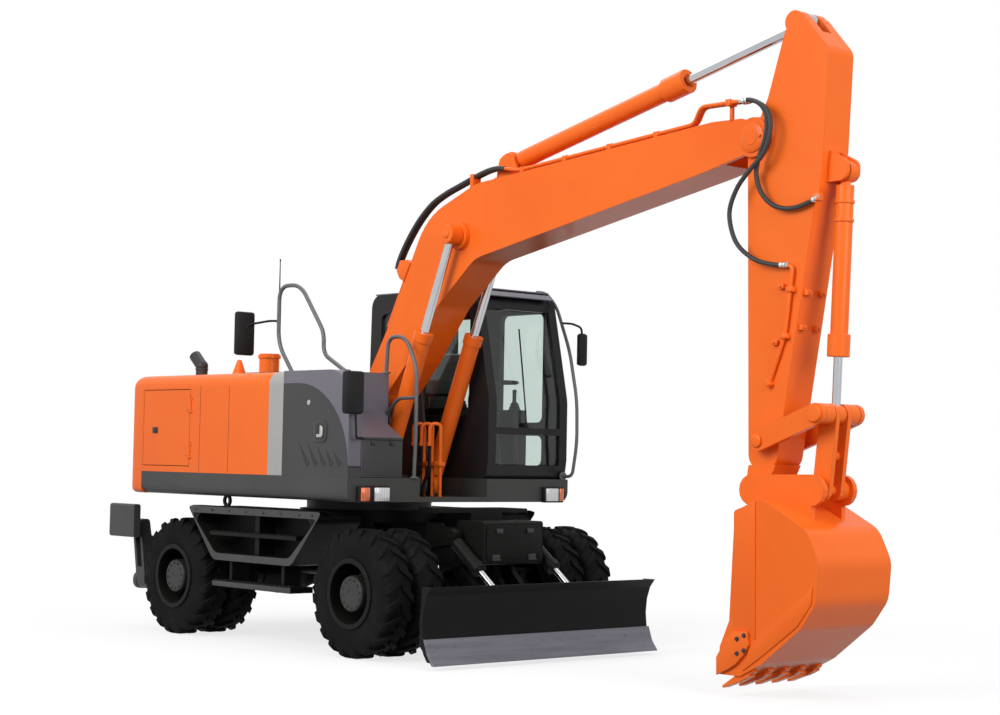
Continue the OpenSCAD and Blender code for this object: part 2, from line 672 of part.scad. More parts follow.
// A stabiliser's leg stands upright on its pivot with its pad against the side
leg_w = 130;
leg_h = 590;
pad_t = 70;
pad_low_share = 0.55;
module stabiliser_leg() translate([-stab_back, 0, 0]) {
    pad_y = half_w - overrun;
    pad_x0 = -stab_pad_l * pad_back_share;
    difference() {
        union() {
            pin_x(stab_pivot_y, stab_pivot_z, -stab_leg_t / 2, stab_leg_t / 2, leg_w);
            rail(rounded([
                [stab_pivot_y - leg_w / 2, stab_pivot_z, 0], [stab_pivot_y + leg_w / 2, stab_pivot_z, 0],
                [stab_pivot_y + leg_w, stab_pivot_z + leg_h, leg_w / 4],
                [stab_pivot_y + leg_w / 4, stab_pivot_z + leg_h, leg_w / 4],
            ]), -stab_leg_t / 2, stab_leg_t / 2);
            // Cheeks beside the cylinder's rod
            rail(rounded([
                [stab_pivot_y, stab_pivot_z + leg_w / 2, 0], [stab_pivot_y + leg_w / 2, stab_pivot_z + leg_h - leg_w, 0],
                [stab_pivot_y + stab_eye.x - leg_w / 2, stab_pivot_z + stab_eye.y + leg_w / 2, leg_w / 3],
                [stab_pivot_y + stab_eye.x - leg_w / 2, stab_pivot_z + stab_eye.y - leg_w / 2, leg_w / 3],
            ]), -stab_leg_t / 2, stab_leg_t / 2);
            // Pad and its rib
            translate([pad_x0, 0, 0])
                rail(rounded(box_outline(pad_y - pad_t, pad_y, stab_pivot_z + leg_h - stab_pad_h * pad_low_share,
                    stab_pivot_z + leg_h + stab_pad_h * (1 - pad_low_share), locker_r)), 0, stab_pad_l);
            box(-stab_leg_t / 2, stab_leg_t / 2, stab_pivot_y + leg_w / 2, pad_y - pad_t / 2,
                stab_pivot_z + leg_h - stab_pad_h * pad_low_share, stab_pivot_z + leg_h - locker_r);
        }
        pin_x(stab_pivot_y, stab_pivot_z, -stab_leg_t, stab_leg_t, stab_pin_d + 2 * fit);
        // Slot for the cylinder's rod
        box(-small_eye_w / 2 - side_gap, small_eye_w / 2 + side_gap, stab_pivot_y - 2 * leg_w, stab_pivot_y + leg_w,
            stab_pivot_z + stab_eye.y - rod_slot, stab_pivot_z + stab_eye.y + rod_slot);
    }
}
rod_slot = 160;
module stabiliser_leg_left() color(black) placed() stabiliser_leg();
module stabiliser_leg_right() color(black) placed() mirror([0, 1, 0]) stabiliser_leg();
stab_cyl_end = [stab_pivot_y, stab_pivot_z] + stab_eye;
stab_cyl_l = norm(stab_cyl_end - stab_cyl_base);
stab_barrel_share = 0.884;
stab_rod_share = 0.1308;
stab_barrel_l = stab_cyl_l * stab_barrel_share;
stab_rod_start = stab_cyl_l * stab_rod_share;
module stabiliser_cylinder_frame() {
    translate([-stab_back, stab_cyl_base.x, stab_cyl_base.y])
        rotate([heading(stab_cyl_base, stab_cyl_end), 0, 0]) rotate([0, 0, 90]) children();
}
module stabiliser_barrel_left() color(black) placed()
    stabiliser_cylinder_frame() barrel(small_cyl_d, stab_barrel_l, small_pin_d);
module stabiliser_barrel_right() color(black) placed() mirror([0, 1, 0])
    stabiliser_cylinder_frame() barrel(small_cyl_d, stab_barrel_l, small_pin_d);
module stabiliser_rod_left() color(chrome) placed()
    stabiliser_cylinder_frame() rod(small_cyl_d, stab_rod_start, stab_cyl_l, small_eye_w);
module stabiliser_rod_right() color(chrome) placed() mirror([0, 1, 0])
    stabiliser_cylinder_frame() rod(small_cyl_d, stab_rod_start, stab_cyl_l, small_eye_w);

// Dozer blade: a curved plate on two push arms
// Face of the blade from its foot to its top: [share of the depth behind the edge, share of the height]
blade_depth = 120;
blade_face_shares = [[0, 0], [0.55, 0.14], [0.9, 0.33], [1, 0.52], [0.9, 0.72], [0.6, 0.89], [0.15, 1]];
edge_share = 0.35;
blade_z = blade_lift;
function blade_face(back) = [
    for (s = blade_face_shares) [blade_front - s.x * blade_depth - back, blade_z + s.y * blade_h]
];
function reversed(p) = [for (i = [len(p) - 1 : -1 : 0]) p[i]];
edge_t = 25;
eye_room = 18;
module dozer_blade() color(black) placed() {
    difference() {
        slab(concat(blade_face(edge_t), reversed(blade_face(edge_t + blade_t))), blade_w);
        box(blade_front - 2 * blade_depth, blade_front, -blade_w, blade_w, 0, blade_z + edge_t);
        // Hollows behind the eyes of the cylinders' rods
        both_sides() pin_y(blade_cyl_end.x, blade_cyl_end.y, blade_cyl_y - small_eye_w / 2 - side_gap,
            blade_cyl_y + small_eye_w / 2 + side_gap, small_cyl_d * rod_eye_share + 2 * eye_room);
    }
    both_sides() {
        // End plates
        slab(concat(blade_face(edge_t), [
            [blade_front - blade_depth - blade_t, blade_z + blade_h],
            [blade_front - blade_depth - blade_t - edge_t, blade_z + blade_h / 4],
        ]), edge_t, blade_w / 2 - edge_t / 2);
        // Push arms
        difference() {
            slab(rounded([
                [blade_pivot_x - blade_pin_d, blade_pivot_z - blade_pin_d, blade_pin_d],
                [blade_front - blade_depth - blade_t, blade_z + blade_h / 5, 0],
                [blade_front - blade_depth - blade_t, blade_z + blade_h * 0.75, 0],
                [blade_pivot_x - blade_pin_d, blade_pivot_z + blade_pin_d, blade_pin_d],
            ]), blade_arm_t, blade_arm_y);
            pin_y(blade_pivot_x, blade_pivot_z, 0, half_w, blade_pin_d + 2 * fit);
        }
        // Cylinder ears on the back of the blade
        for (s = [-1, 1])
            slab(rounded([
                [blade_front - blade_depth - blade_t, blade_z + blade_h / 2, 0],
                [blade_front - blade_depth - blade_t, blade_z + blade_h - locker_r, 0],
                [blade_cyl_end.x - small_cyl_d / 2, blade_cyl_end.y + small_cyl_d / 2, small_pin_d],
                [blade_cyl_end.x - small_cyl_d / 2, blade_cyl_end.y - small_cyl_d / 2, small_pin_d],
            ]), edge_t, blade_cyl_y + s * (small_eye_w / 2 + side_gap + edge_t / 2));
    }
}
module blade_edge() color(mid_grey) placed() {
    steps = [for (s = blade_face_shares) if (s.y <= edge_share) s];
    slab(concat([for (s = steps) [blade_front - s.x * blade_depth, blade_z + s.y * blade_h]],
        [for (i = [len(steps) - 1 : -1 : 0])
            [blade_front - steps[i].x * blade_depth - edge_t, blade_z + steps[i].y * blade_h]]), blade_w);
}
blade_cyl_l = norm(blade_cyl_end - blade_cyl_base);
blade_barrel_l = 440;
blade_rod_start = 290;
module blade_cylinder_frame() {
    both_sides() translate([blade_cyl_base.x, blade_cyl_y, blade_cyl_base.y])
        rotate([0, -heading(blade_cyl_base, blade_cyl_end), 0]) children();
}
module blade_barrels() color(black) placed()
    blade_cylinder_frame() barrel(small_cyl_d, blade_barrel_l, small_pin_d);
module blade_rods() color(chrome) placed()
    blade_cylinder_frame() rod(small_cyl_d, blade_rod_start, blade_cyl_l, small_eye_w);

// Upper structure
skirt_d = 90;
bracket_plate_t = 20;
foot_boss_t = 30;
bracket_y = boom_w / 2 + side_gap + bracket_plate_t / 2;
foot_r = 165;
boom_cyl_base = [650, 1400];
well_x = 470;
well_half = boom_cyl_y + boom_cyl_d / 2 + 4 * side_gap;
well_floor = 40;
boom_eye_w = boom_cyl_d * eye_w_share;
boom_cyl_pin_d = 80;
module upper_frame() color(dark_grey) placed() {
    difference() {
        union() {
            box(-house_back, deck_front, -house_half + skirt_d, house_half - skirt_d, deck_z, deck_top);
            // Rounded side rails
            both_sides() rail(rounded([
                [house_half - 2 * skirt_d, deck_z, 0], [house_half, deck_z, skirt_d],
                [house_half, deck_top, 0], [house_half - 2 * skirt_d, deck_top, 0],
            ]), -house_back, deck_front);
        }
        // Well at the foot of the boom's cylinders
        box(well_x, deck_front + overrun, boom_y - well_half, boom_y + well_half, deck_z + well_floor,
            deck_top + overrun);
    }
    // Brackets of the boom's foot and of its cylinders, with their pins
    for (s = [-1, 1])
        slab(rounded([
            [house_front + side_gap, deck_top - overrun, 0],
            [well_x - overrun, deck_top - overrun, 0], [well_x - overrun, deck_z + well_floor, 0],
            [boom_cyl_base.x + boom_cyl_d, deck_z + well_floor, 0],
            [boom_cyl_base.x + boom_cyl_d / 2, boom_cyl_base.y + boom_cyl_d, foot_r / 2],
            [foot.x + foot_r, foot.y, foot_r / 2], [foot.x + foot_r / 2, foot.y + foot_r / 2, foot_r / 2],
            [foot.x - foot_r / 2, foot.y + foot_r / 2, foot_r / 2],
            [house_front + side_gap, foot.y - foot_r, foot_r / 2],
        ]), bracket_plate_t, boom_y + s * bracket_y);
    for (s = [-1, 1])
        translate([0, boom_y + s * (bracket_y + foot_boss_t / 2), 0])
            pin_y(foot.x, foot.y, -foot_boss_t / 2, foot_boss_t / 2, foot_r);
    pin_y(foot.x, foot.y, boom_y - bracket_y - foot_boss_t, boom_y + bracket_y + foot_boss_t, pin_d);
    pin_y(boom_cyl_base.x, boom_cyl_base.y, boom_y - bracket_y, boom_y + bracket_y, 2 * boom_cyl_pin_d);
    pin_y(boom_cyl_base.x, boom_cyl_base.y, boom_y - boom_cyl_y - boom_eye_w / 2 - side_gap,
        boom_y + boom_cyl_y + boom_eye_w / 2 + side_gap, boom_cyl_pin_d);
}
// Counterweight: a block cut by the tail radius, with a sloping back and a chamfered top
cw_gap = 18;
// [share of the length behind the panels, share of the height, radius share]
cw_side_shares = [[0, 0, 0], [0.82, 0, 0.9], [1, 0.2, 0.8], [0.9, 0.9, 0.9], [0.72, 1, 0.9], [0, 1, 0]];
module counterweight() color(orange) placed() {
    length = tail_r - house_back - cw_gap;
    intersection() {
        translate([0, 0, deck_z]) cylinder(h = house_top - deck_z, r = tail_r, $fn = 96);
        translate([-house_back - cw_gap, 0, deck_z]) mirror([1, 0, 0])
            slab(rounded(scaled(cw_side_shares, length, house_top - deck_z, house_r)), house_w + overrun);
        box(-tail_r, 0, -house_half, house_half, deck_z, house_top);
    }
    // Seat against the deck
    box(-house_back - cw_gap - overrun, -house_back, -house_half / 2, house_half / 2, deck_z, deck_top);
}
engine_room = 600;
engine_w = 1100;
engine_h = 720;
module engine_block() color(dark_grey) placed() {
    x0 = -house_back + 3 * house_r;
    engine_l = house_back - rear_bay_x - engine_room;
    slab(rounded(box_outline(x0, x0 + engine_l, deck_top, deck_top + engine_h, locker_r)), engine_w);
}
// House: a shell with rounded top edges, open to the counterweight and to the deck
right_bay_y = 200;
bay_gap = 20;
door_sill = 60;
door_head = 30;
rear_bay_x = cab_back + bay_gap;
door_z0 = deck_top + door_sill;
door_z1 = house_top - house_r - door_head;
door_room = 630;
door_l = house_back - rear_bay_x - door_room;
door_x0 = -house_back + bay_gap;
door_x1 = door_x0 + door_l;
hood_edge = 100;
hood_x0 = -house_back + hood_edge;
hood_x1 = -rear_bay_x - house_r;
hood_in = [720, 340];
hood_y0 = -house_half + hood_in.x;
hood_y1 = house_half - hood_in.y;
door_gap = 6;
function house_section(y0, y1, r0, r1, t) = [
    [y0 + t, deck_top, 0], [y1 - t, deck_top, 0],
    [y1 - t, house_top - t, r1], [y0 + t, house_top - t, r0],
];
inner_r = (house_r - panel_t) / 2;
module house_panels() color(orange) placed() {
    difference() {
        union() {
            rail(rounded(house_section(-house_half, house_half, house_r, house_r, 0)), -house_back, -rear_bay_x);
            rail(rounded(house_section(-house_half, right_bay_y, house_r, 0, 0)),
                -rear_bay_x - overrun, house_front);
        }
        difference() {
            union() {
                translate([-overrun, 0, 0])
                    rail(rounded(house_section(-house_half, house_half, inner_r, inner_r, panel_t)),
                        -house_back, -rear_bay_x - panel_t + overrun);
                rail(rounded(house_section(-house_half, right_bay_y, inner_r, 0, panel_t)),
                    -rear_bay_x - 2 * panel_t, house_front - panel_t);
            }
            // Bulkhead between the engine and the pump bay
            box(-rear_bay_x - panel_t, -rear_bay_x, -house_half, house_half, deck_top, house_top);
        }
        translate([0, 0, -overrun])
            rail(house_floor_cut(house_half - panel_t), -house_back - overrun, -rear_bay_x - panel_t);
        both_sides() service_door_cut(door_gap);
        box(hood_x0 - door_gap, hood_x1 + door_gap, hood_y0 - door_gap, hood_y1 + door_gap, house_top - house_r,
            house_top + overrun);
        both_sides() at_door_hinges() hinge_room();
        at_hood_hinges() hinge_room();
    }
    // Hinge lugs and pins of the two doors and of the hood
    both_sides() at_door_hinges() hinge_post();
    at_hood_hinges() hinge_post();
    // Rain cap and pre-cleaner bowl on the roof
    translate([bowl_at.x, bowl_at.y, house_top - overrun]) {
        cylinder(h = bowl_h + overrun, d = bowl_d);
        translate([0, 0, bowl_h - bowl_rim_t]) cylinder(h = bowl_rim_t, d = bowl_d + 2 * bowl_rim);
    }
    translate([cap_at.x, cap_at.y, house_top - overrun]) {
        cylinder(h = cap_h + overrun, d1 = cap_d, d2 = cap_d / 4);
        cylinder(h = 2 * overrun, d = cap_d + 2 * bowl_rim);
    }
}
function house_floor_cut(h) = [[-h, deck_top], [h, deck_top], [h, deck_top + overrun], [-h, deck_top + overrun]];
bowl_in = [50, 460];
bowl_at = [-rear_bay_x - bowl_in.x, -house_half + bowl_in.y];
bowl_d = 180;
bowl_h = 190;
bowl_rim = 12;
bowl_rim_t = 30;
cap_in = [850, 480];
cap_at = [-house_back + cap_in.x, -house_half + cap_in.y];
cap_d = 150;
cap_h = 150;
module service_door_cut(grow) {
    box(door_x0 - grow, door_x1 + grow, house_half - panel_t - overrun, house_half + overrun, door_z0 - grow,
        door_z1 + grow);
}
// External hinges: two per door, a pin between two lugs on the fixed side and a knuckle on the door
hinge_d = 30;
hinge_pin_d = 14;
hinge_l = 90;
hinge_lug = 24;
hinge_shares = [0.2, 0.8];
// The lugs of a post reach towards +x, and the leaf of a knuckle towards -x
module hinge_post() {
    cylinder(h = hinge_l + 2 * hinge_lug, d = hinge_pin_d, center = true);
    for (m = [-1, 1])
        translate([0, 0, m * (hinge_l + hinge_lug + seat_gap) / 2]) {
            cylinder(h = hinge_lug - seat_gap, d = hinge_d, center = true);
            translate([hinge_d / 2, 0, 0])
                cube([hinge_d + door_gap, hinge_d / 2, hinge_lug - seat_gap], center = true);
        }
}
module hinge_knuckle() {
    difference() {
        union() {
            cylinder(h = hinge_l - 2 * seat_gap, d = hinge_d, center = true);
            translate([-hinge_d, 0, 0]) cube([2 * hinge_d, hinge_d / 2, hinge_l - 2 * seat_gap], center = true);
        }
        cylinder(h = 2 * hinge_l, d = hinge_pin_d + 2 * seat_gap, center = true);
    }
}
// Room that a door leaves round its hinges
module hinge_room() {
    cylinder(h = hinge_l + 2 * hinge_lug + 2 * side_gap, d = hinge_d + side_gap, center = true);
}
module at_door_hinges() {
    for (s = hinge_shares)
        translate([door_x1 + door_gap / 2, house_half, door_z0 + s * (door_z1 - door_z0)]) children();
}
module at_hood_hinges() {
    for (s = hinge_shares)
        translate([hood_x1 + door_gap / 2, hood_y0 + s * (hood_y1 - hood_y0), house_top])
            rotate([90, 0, 0]) children();
}
module at_cab_hinges() {
    for (s = hinge_shares)
        translate([door_rear_x - door_gap / 2, cab_y1, cab_door_z0 + s * (cab_door_z1 - cab_door_z0)])
            mirror([1, 0, 0]) children();
}
module service_door() {
    difference() {
        box(door_x0, door_x1, house_half - panel_t, house_half, door_z0, door_z1);
        at_door_hinges() hinge_room();
    }
    at_door_hinges() hinge_knuckle();
}
module service_door_right() color(orange) placed() mirror([0, 1, 0]) service_door();
// Louvres are rows of wedges on the sheet
louvre_count = 9;
louvre_share = 0.9;
louvre_t = 18;
louvre_in = 110;
module service_door_left() color(orange) placed() {
    service_door();
    pitch = (door_z1 - door_z0 - 2 * louvre_in) / louvre_count;
    for (i = [0 : louvre_count - 1]) {
        z = door_z0 + louvre_in + i * pitch;
        in = house_half - overrun;
        rail([[in, z], [house_half + louvre_t, z], [in, z + pitch * louvre_share]],
            door_x0 + louvre_in, door_x1 - 2 * louvre_in);
    }
}
// The hood is hinged along its front edge
module engine_hood() color(orange) placed() {
    difference() {
        box(hood_x0, hood_x1, hood_y0, hood_y1, house_top - panel_t, house_top);
        at_hood_hinges() hinge_room();
    }
    at_hood_hinges() hinge_knuckle();
    // Louvres over the radiator
    pitch = (hood_x1 - hood_x0 - 3 * louvre_in) / louvre_count;
    for (i = [0 : louvre_count - 1]) {
        x = hood_x0 + louvre_in + i * pitch;
        slab([[x, house_top - overrun], [x, house_top + louvre_t], [x + pitch * louvre_share, house_top - overrun]],
            hood_y1 - hood_y0 - 4 * louvre_in, (hood_y0 + hood_y1) / 2);
    }
}
// Tank at the front right: a pale strip, a grey shroud and the dark side cover with its big rounded shoulder
tank_y1 = boom_y - boom_cyl_y - boom_cyl_d;
tank_r = 260;
cover_r = 700;
cover_drop = 106;
tank_panel_t = 130;
tank_l = 740;
strip_l = 210;
strip_x = house_front + strip_l;
cover_y = -house_half + tank_panel_t;
module cover_strip() color(light_grey) placed()
    rail(rounded(house_section(-house_half, tank_y1, house_r, 0, 0)), house_front, strip_x);
function cover_outline(grow) = rounded([
    [strip_x, deck_top, 0], [deck_front + grow, deck_top, 0],
    [deck_front + grow, house_top - cover_drop + grow, cover_r + grow], [strip_x, house_top - cover_drop + grow, 0],
], 12);
module tank_cover() color(dark_grey) placed() slab(cover_outline(0), tank_panel_t, -house_half + tank_panel_t / 2);
module tank_shroud() color(mid_grey) placed() {
    box(strip_x, house_front + tank_l, cover_y, tank_y1, deck_top, house_top);
    // Rim over the side cover
    difference() {
        slab(rounded([
            [strip_x, deck_top, 0], [deck_front, deck_top, 0],
            [deck_front, house_top, tank_r], [strip_x, house_top, 0],
        ], 8), tank_panel_t, -house_half + tank_panel_t / 2);
        slab(concat(cover_outline(seat_gap), [[strip_x - overrun, house_top - cover_drop + seat_gap],
            [strip_x - overrun, deck_top - overrun], [deck_front + overrun, deck_top - overrun],
            [deck_front + overrun, deck_top]]), tank_panel_t + overrun, -house_half + tank_panel_t / 2);
    }
}
// Tool box in front of the tank, with a sloping top
box_w = 430;
box_front_h = 330;
box_back_h = 560;
module tool_box() color(mid_grey) placed() {
    slab(rounded([
        [house_front + tank_l, deck_top, 0], [deck_front, deck_top, locker_r],
        [deck_front, deck_top + box_front_h, locker_r], [house_front + tank_l, deck_top + box_back_h, 0],
    ]), box_w, -house_half + tank_panel_t + side_gap + box_w / 2);
}
// Exhaust pipe leaning back on its flange
exhaust_in = [370, 390];
exhaust_at = [-house_back + exhaust_in.x, -house_half + exhaust_in.y];
exhaust_d = 110;
exhaust_h = 200;
exhaust_lean = 120;
module exhaust_stack() color(black) placed() {
    difference() {
        translate([exhaust_at.x, exhaust_at.y, house_top]) {
            cylinder(h = overrun, d = exhaust_d * gland_share);
            tube([[0, 0, 0], [0, 0, exhaust_h / 2], [-exhaust_lean, 0, exhaust_h]], exhaust_d);
        }
        box(-tail_r, 0, -house_half, 0, 0, house_top);
    }
}
// Handrail over the tank cover and the mirror stalks
rail_d = 36;
rail_in = 240;
rail_y = -house_half + rail_in;
rail_route_shares = [[0, 0], [-0.25, 0.34], [-0.25, 1], [0.1, 1], [0.5, 0.44], [0.5, 0.2], [0.85, 0]];
rail_l = 880;
rail_h = 760;
foot_flange_d = 90;
foot_flange_t = 12;
stalk_d = 28;
function rail_point(s) = [house_front + s.x * rail_l, rail_y, house_top + s.y * rail_h];
module handrails() color(dark_grey) placed() {
    difference() {
        union() {
            tube([for (s = rail_route_shares) rail_point(s)], rail_d);
            for (s = [rail_route_shares[0], rail_route_shares[6]])
                translate(rail_point(s)) cylinder(h = foot_flange_t, d = foot_flange_d);
        }
        box(-tail_r, deck_front, -house_half, 0, 0, house_top);
    }
    // Grab rail in front of the cab's left post
    tube(grab_route(), rail_d);
    translate(grab_route()[0]) cylinder(h = foot_flange_t, d = foot_flange_d);
    translate(grab_route()[6]) rotate([0, 90, 0]) cylinder(h = foot_flange_t, d = foot_flange_d);
}
// Grab rail from the cab's roof to its front: shares of the cab's length and height from the front top corner
grab_y = cab_y1 - foot_flange_d / 2;
grab_shares = [[-0.22, 0], [-0.22, 0.025], [-0.135, 0.025], [-0.006, -0.197], [0.065, -0.64], [0.065, -0.88]];
function grab_point(s) = [cab_front_x + s.x * cab_l, grab_y, cab_top_z + s.y * cab_h];
function grab_route() = concat([for (s = grab_shares) grab_point(s)],
    [[cab_front_x, grab_y, grab_point(grab_shares[5]).z]]);
mirror_w = 330;
mirror_h = 380;
mirror_t = 70;
mirror_reach = 120;
mirror_out = house_half + mirror_reach;
mirror_x_share = -0.25;
mirror_stalk_share = 0.6;
mirror_low_share = 0.3;
module mirrors() color(black) placed() {
    // Side mirror on the handrail
    x0 = house_front + mirror_x_share * rail_l;
    stalk_z = house_top + mirror_stalk_share * rail_h;
    low_z = house_top + mirror_low_share * rail_h;
    difference() {
        union() {
            tube([[x0, rail_y, stalk_z], [x0, -mirror_out + mirror_w / 2, stalk_z]], stalk_d);
            slab(rounded(box_outline(x0 - mirror_t, x0 + mirror_t, low_z, low_z + mirror_h, mirror_t / 2)), mirror_w,
                -mirror_out + mirror_w / 2);
        }
        translate([x0, rail_y, house_top]) cylinder(h = rail_h, d = rail_d + 2 * seat_gap);
    }
    // Front mirror on its own stalk beside the tool box
    front_x = deck_front + mirror_t;
    front_y = -house_half + tank_panel_t / 2;
    front_z = deck_top + stalk_up;
    foot_z = front_z + mirror_h / 2;
    tube([[deck_front, front_y, front_z], [front_x, front_y, front_z], [front_x, front_y, foot_z]], stalk_d);
    slab(rounded(box_outline(front_x - mirror_t / 2, front_x + mirror_t / 2, foot_z, foot_z + mirror_h, mirror_t / 4)),
        mirror_w * front_mirror_share, front_y);
    // Cab mirror on the grab rail
    at = (1 - grab_mirror_share) * grab_route()[3] + grab_mirror_share * grab_route()[4];
    difference() {
        union() {
            bar(at, [at.x, mirror_out - mirror_t, at.z], stalk_d);
            slab(rounded(box_outline(at.x - mirror_t / 2, at.x + mirror_t / 2, at.z - mirror_h / 2, at.z + mirror_h / 2,
                mirror_t / 4)), mirror_out - cab_y1, (mirror_out + cab_y1) / 2);
        }
        tube(grab_route(), rail_d + 2 * seat_gap);
    }
}
grab_mirror_share = 0.25;
stalk_up = 320;
front_mirror_share = 0.7;
lamp_w = 150;
lamp_h = 80;
lamp_t = 45;
module lamps() color(light_grey) placed() {
    for (y = [-house_half + 2 * lamp_w, house_half - lamp_w])
        slab(rounded(box_outline(deck_front, deck_front + lamp_t, deck_z + lamp_h / 4, deck_z + lamp_h / 4 + lamp_h,
            locker_r / 2)), lamp_w, y);
}

// Cab
// Outline of the cab seen from the left: [share of the length, share of the height, radius share]
cab_outline_shares = [
    [0, 0, 0], [0.985, 0, 0.3], [1, 0.1, 0.6], [1, 0.42, 3], [0.885, 0.955, 0.6], [0.84, 1, 0.6], [0.02, 1, 0.8],
];
cab_r = 150;
cab_x0 = -cab_back;
cab_front_x = cab_x0 + cab_l;
cab_top_z = deck_top + cab_h;
function cab_outline(inset) = rounded([
    for (s = cab_outline_shares)
        [cab_x0 + inset + s.x * (cab_l - 2 * inset), deck_top + inset + s.y * (cab_h - 2 * inset), s[2] * cab_r]
], 8);
sill_share = 0.33;
window_r = 60;
post_w = 90;
bar_z = 450;
bar_w = 60;
win_x0 = cab_x0 + 2 * post_w;
win_x1 = cab_front_x - 3 * post_w;
win_z0 = deck_top + cab_h * sill_share;
win_z1 = cab_top_z - 2 * post_w;
door_rear_x = 320;
cab_door_sill = 50;
cab_door_head = 120;
cab_door_z0 = deck_top + cab_door_sill;
cab_door_z1 = cab_top_z - cab_door_head;
cab_mid_y = (cab_y0 + cab_y1) / 2;
// Openings of the fixed windows, grown by a clearance that is negative for the panes
module front_window(z0, z1, grow) {
    box(cab_x0 + cab_l / 2, cab_front_x + overrun, cab_y0 + post_w - grow, cab_y1 - post_w + grow, z0 - grow, z1 + grow);
}
module right_window(grow) {
    slab(rounded(box_outline(win_x0 - grow, win_x1 + grow, win_z0 - grow, win_z1 + grow, window_r)),
        2 * cab_wall + 2 * overrun, cab_y0);
}
module quarter_window(grow) {
    slab(rounded(box_outline(win_x0 - grow, door_rear_x - post_w + grow, win_z0 - grow, win_z1 + grow, window_r)),
        2 * cab_wall + 2 * overrun, cab_y1);
}
module rear_window(grow) {
    box(cab_x0 - overrun, cab_x0 + cab_wall + overrun, cab_y0 + post_w - grow, cab_y1 - post_w + grow, win_z0 - grow,
        win_z1 + grow);
}
module door_blank(grow) {
    intersection() {
        slab(cab_outline(cab_wall - grow), 2 * cab_wall, cab_y1);
        box(door_rear_x - grow, cab_front_x, cab_y0, cab_y1 + cab_wall, cab_door_z0 - grow, cab_door_z1 + grow);
    }
}
pane_sill = 120;
pane_head = 170;
lower_pane_z0 = deck_top + pane_sill;
lower_pane_z1 = deck_top + bar_z - bar_w;
upper_pane_z0 = deck_top + bar_z;
upper_pane_z1 = cab_top_z - pane_head;
module cab_shell() color(black) placed() {
    difference() {
        slab(cab_outline(0), cab_w, cab_mid_y);
        slab(cab_outline(cab_wall), cab_w - 2 * cab_wall, cab_mid_y);
        front_window(lower_pane_z0, lower_pane_z1, 0);
        front_window(upper_pane_z0, upper_pane_z1, 0);
        right_window(0);
        quarter_window(0);
        rear_window(0);
        door_blank(door_gap);
        at_cab_hinges() hinge_room();
    }
    at_cab_hinges() hinge_post();
}
function pane_ring(inset) = cab_outline(inset);
module front_pane(z0, z1) {
    intersection() {
        difference() {
            slab(pane_ring(cab_wall / 3), cab_w, cab_mid_y);
            slab(pane_ring(cab_wall / 3 + glass_t), cab_w + overrun, cab_mid_y);
        }
        front_window(z0, z1, -seat_gap);
    }
}
module cab_glass() color(glass_tint) placed() {
    front_pane(lower_pane_z0, lower_pane_z1);
    front_pane(upper_pane_z0, upper_pane_z1);
    pane = cab_wall / 3;
    intersection() {
        right_window(-seat_gap);
        box(cab_x0, cab_front_x, cab_y0 + pane, cab_y0 + pane + glass_t, deck_top, cab_top_z);
    }
    intersection() {
        quarter_window(-seat_gap);
        box(cab_x0, cab_front_x, cab_y1 - pane - glass_t, cab_y1 - pane, deck_top, cab_top_z);
    }
    intersection() {
        rear_window(-seat_gap);
        box(cab_x0 + pane, cab_x0 + pane + glass_t, cab_y0, cab_y1, deck_top, cab_top_z);
    }
}
door_win_x0 = door_rear_x + post_w;
door_win_x1 = cab_front_x - 3 * post_w;
module door_window(z0, z1, grow) {
    slab(rounded(box_outline(door_win_x0 - grow, door_win_x1 + grow, z0 - grow, z1 + grow, window_r)),
        2 * cab_wall + 2 * overrun, cab_y1);
}
module cab_door() color(black) placed() {
    difference() {
        intersection() {
            door_blank(0);
            box(cab_x0, cab_front_x, cab_y1 - cab_wall, cab_y1, deck_top, cab_top_z);
        }
        door_window(lower_pane_z0, lower_pane_z1, 0);
        door_window(upper_pane_z0 + bar_w, upper_pane_z1, 0);
        at_cab_hinges() hinge_room();
    }
    at_cab_hinges() hinge_knuckle();
}
module door_glass() color(glass_tint) placed() {
    pane = cab_wall / 3;
    intersection() {
        union() {
            door_window(lower_pane_z0, lower_pane_z1, -seat_gap);
            door_window(upper_pane_z0 + bar_w, upper_pane_z1, -seat_gap);
        }
        box(cab_x0, cab_front_x, cab_y1 - pane - glass_t, cab_y1 - pane, deck_top, cab_top_z);
    }
}
// Seat and controls on the cab's floor
seat_x = 180;
seat_w_share = 0.585;
seat_w = (cab_w - 2 * cab_wall) * seat_w_share;
seat_l = 480;
seat_t = 120;
seat_h = 380;
seat_z = deck_top + cab_wall + seat_h;
back_h = 700;
back_lean = 12;
module operator_seat() color(black) placed() translate([seat_x, cab_mid_y, seat_z]) {
    slab(rounded(box_outline(0, seat_l, 0, seat_t, seat_t / 3)), seat_w);
    translate([seat_t / 2, 0, 0]) rotate([0, -back_lean, 0])
        slab(rounded(box_outline(-seat_t, 0, seat_t / 2, back_h, seat_t / 3)), seat_w);
}
console_w_share = 0.195;
console_w = (cab_w - 2 * cab_wall) * console_w_share;
console_l = 620;
console_h = 560;
column_x = 900;
column_d = 70;
wheel_d = 380;
wheel_rim_d = 30;
spoke_share = 0.8;
steer_h = 860;
wheel_z = deck_top + steer_h;
lever_d = 36;
lever_h = 180;
plinth_l = 400;
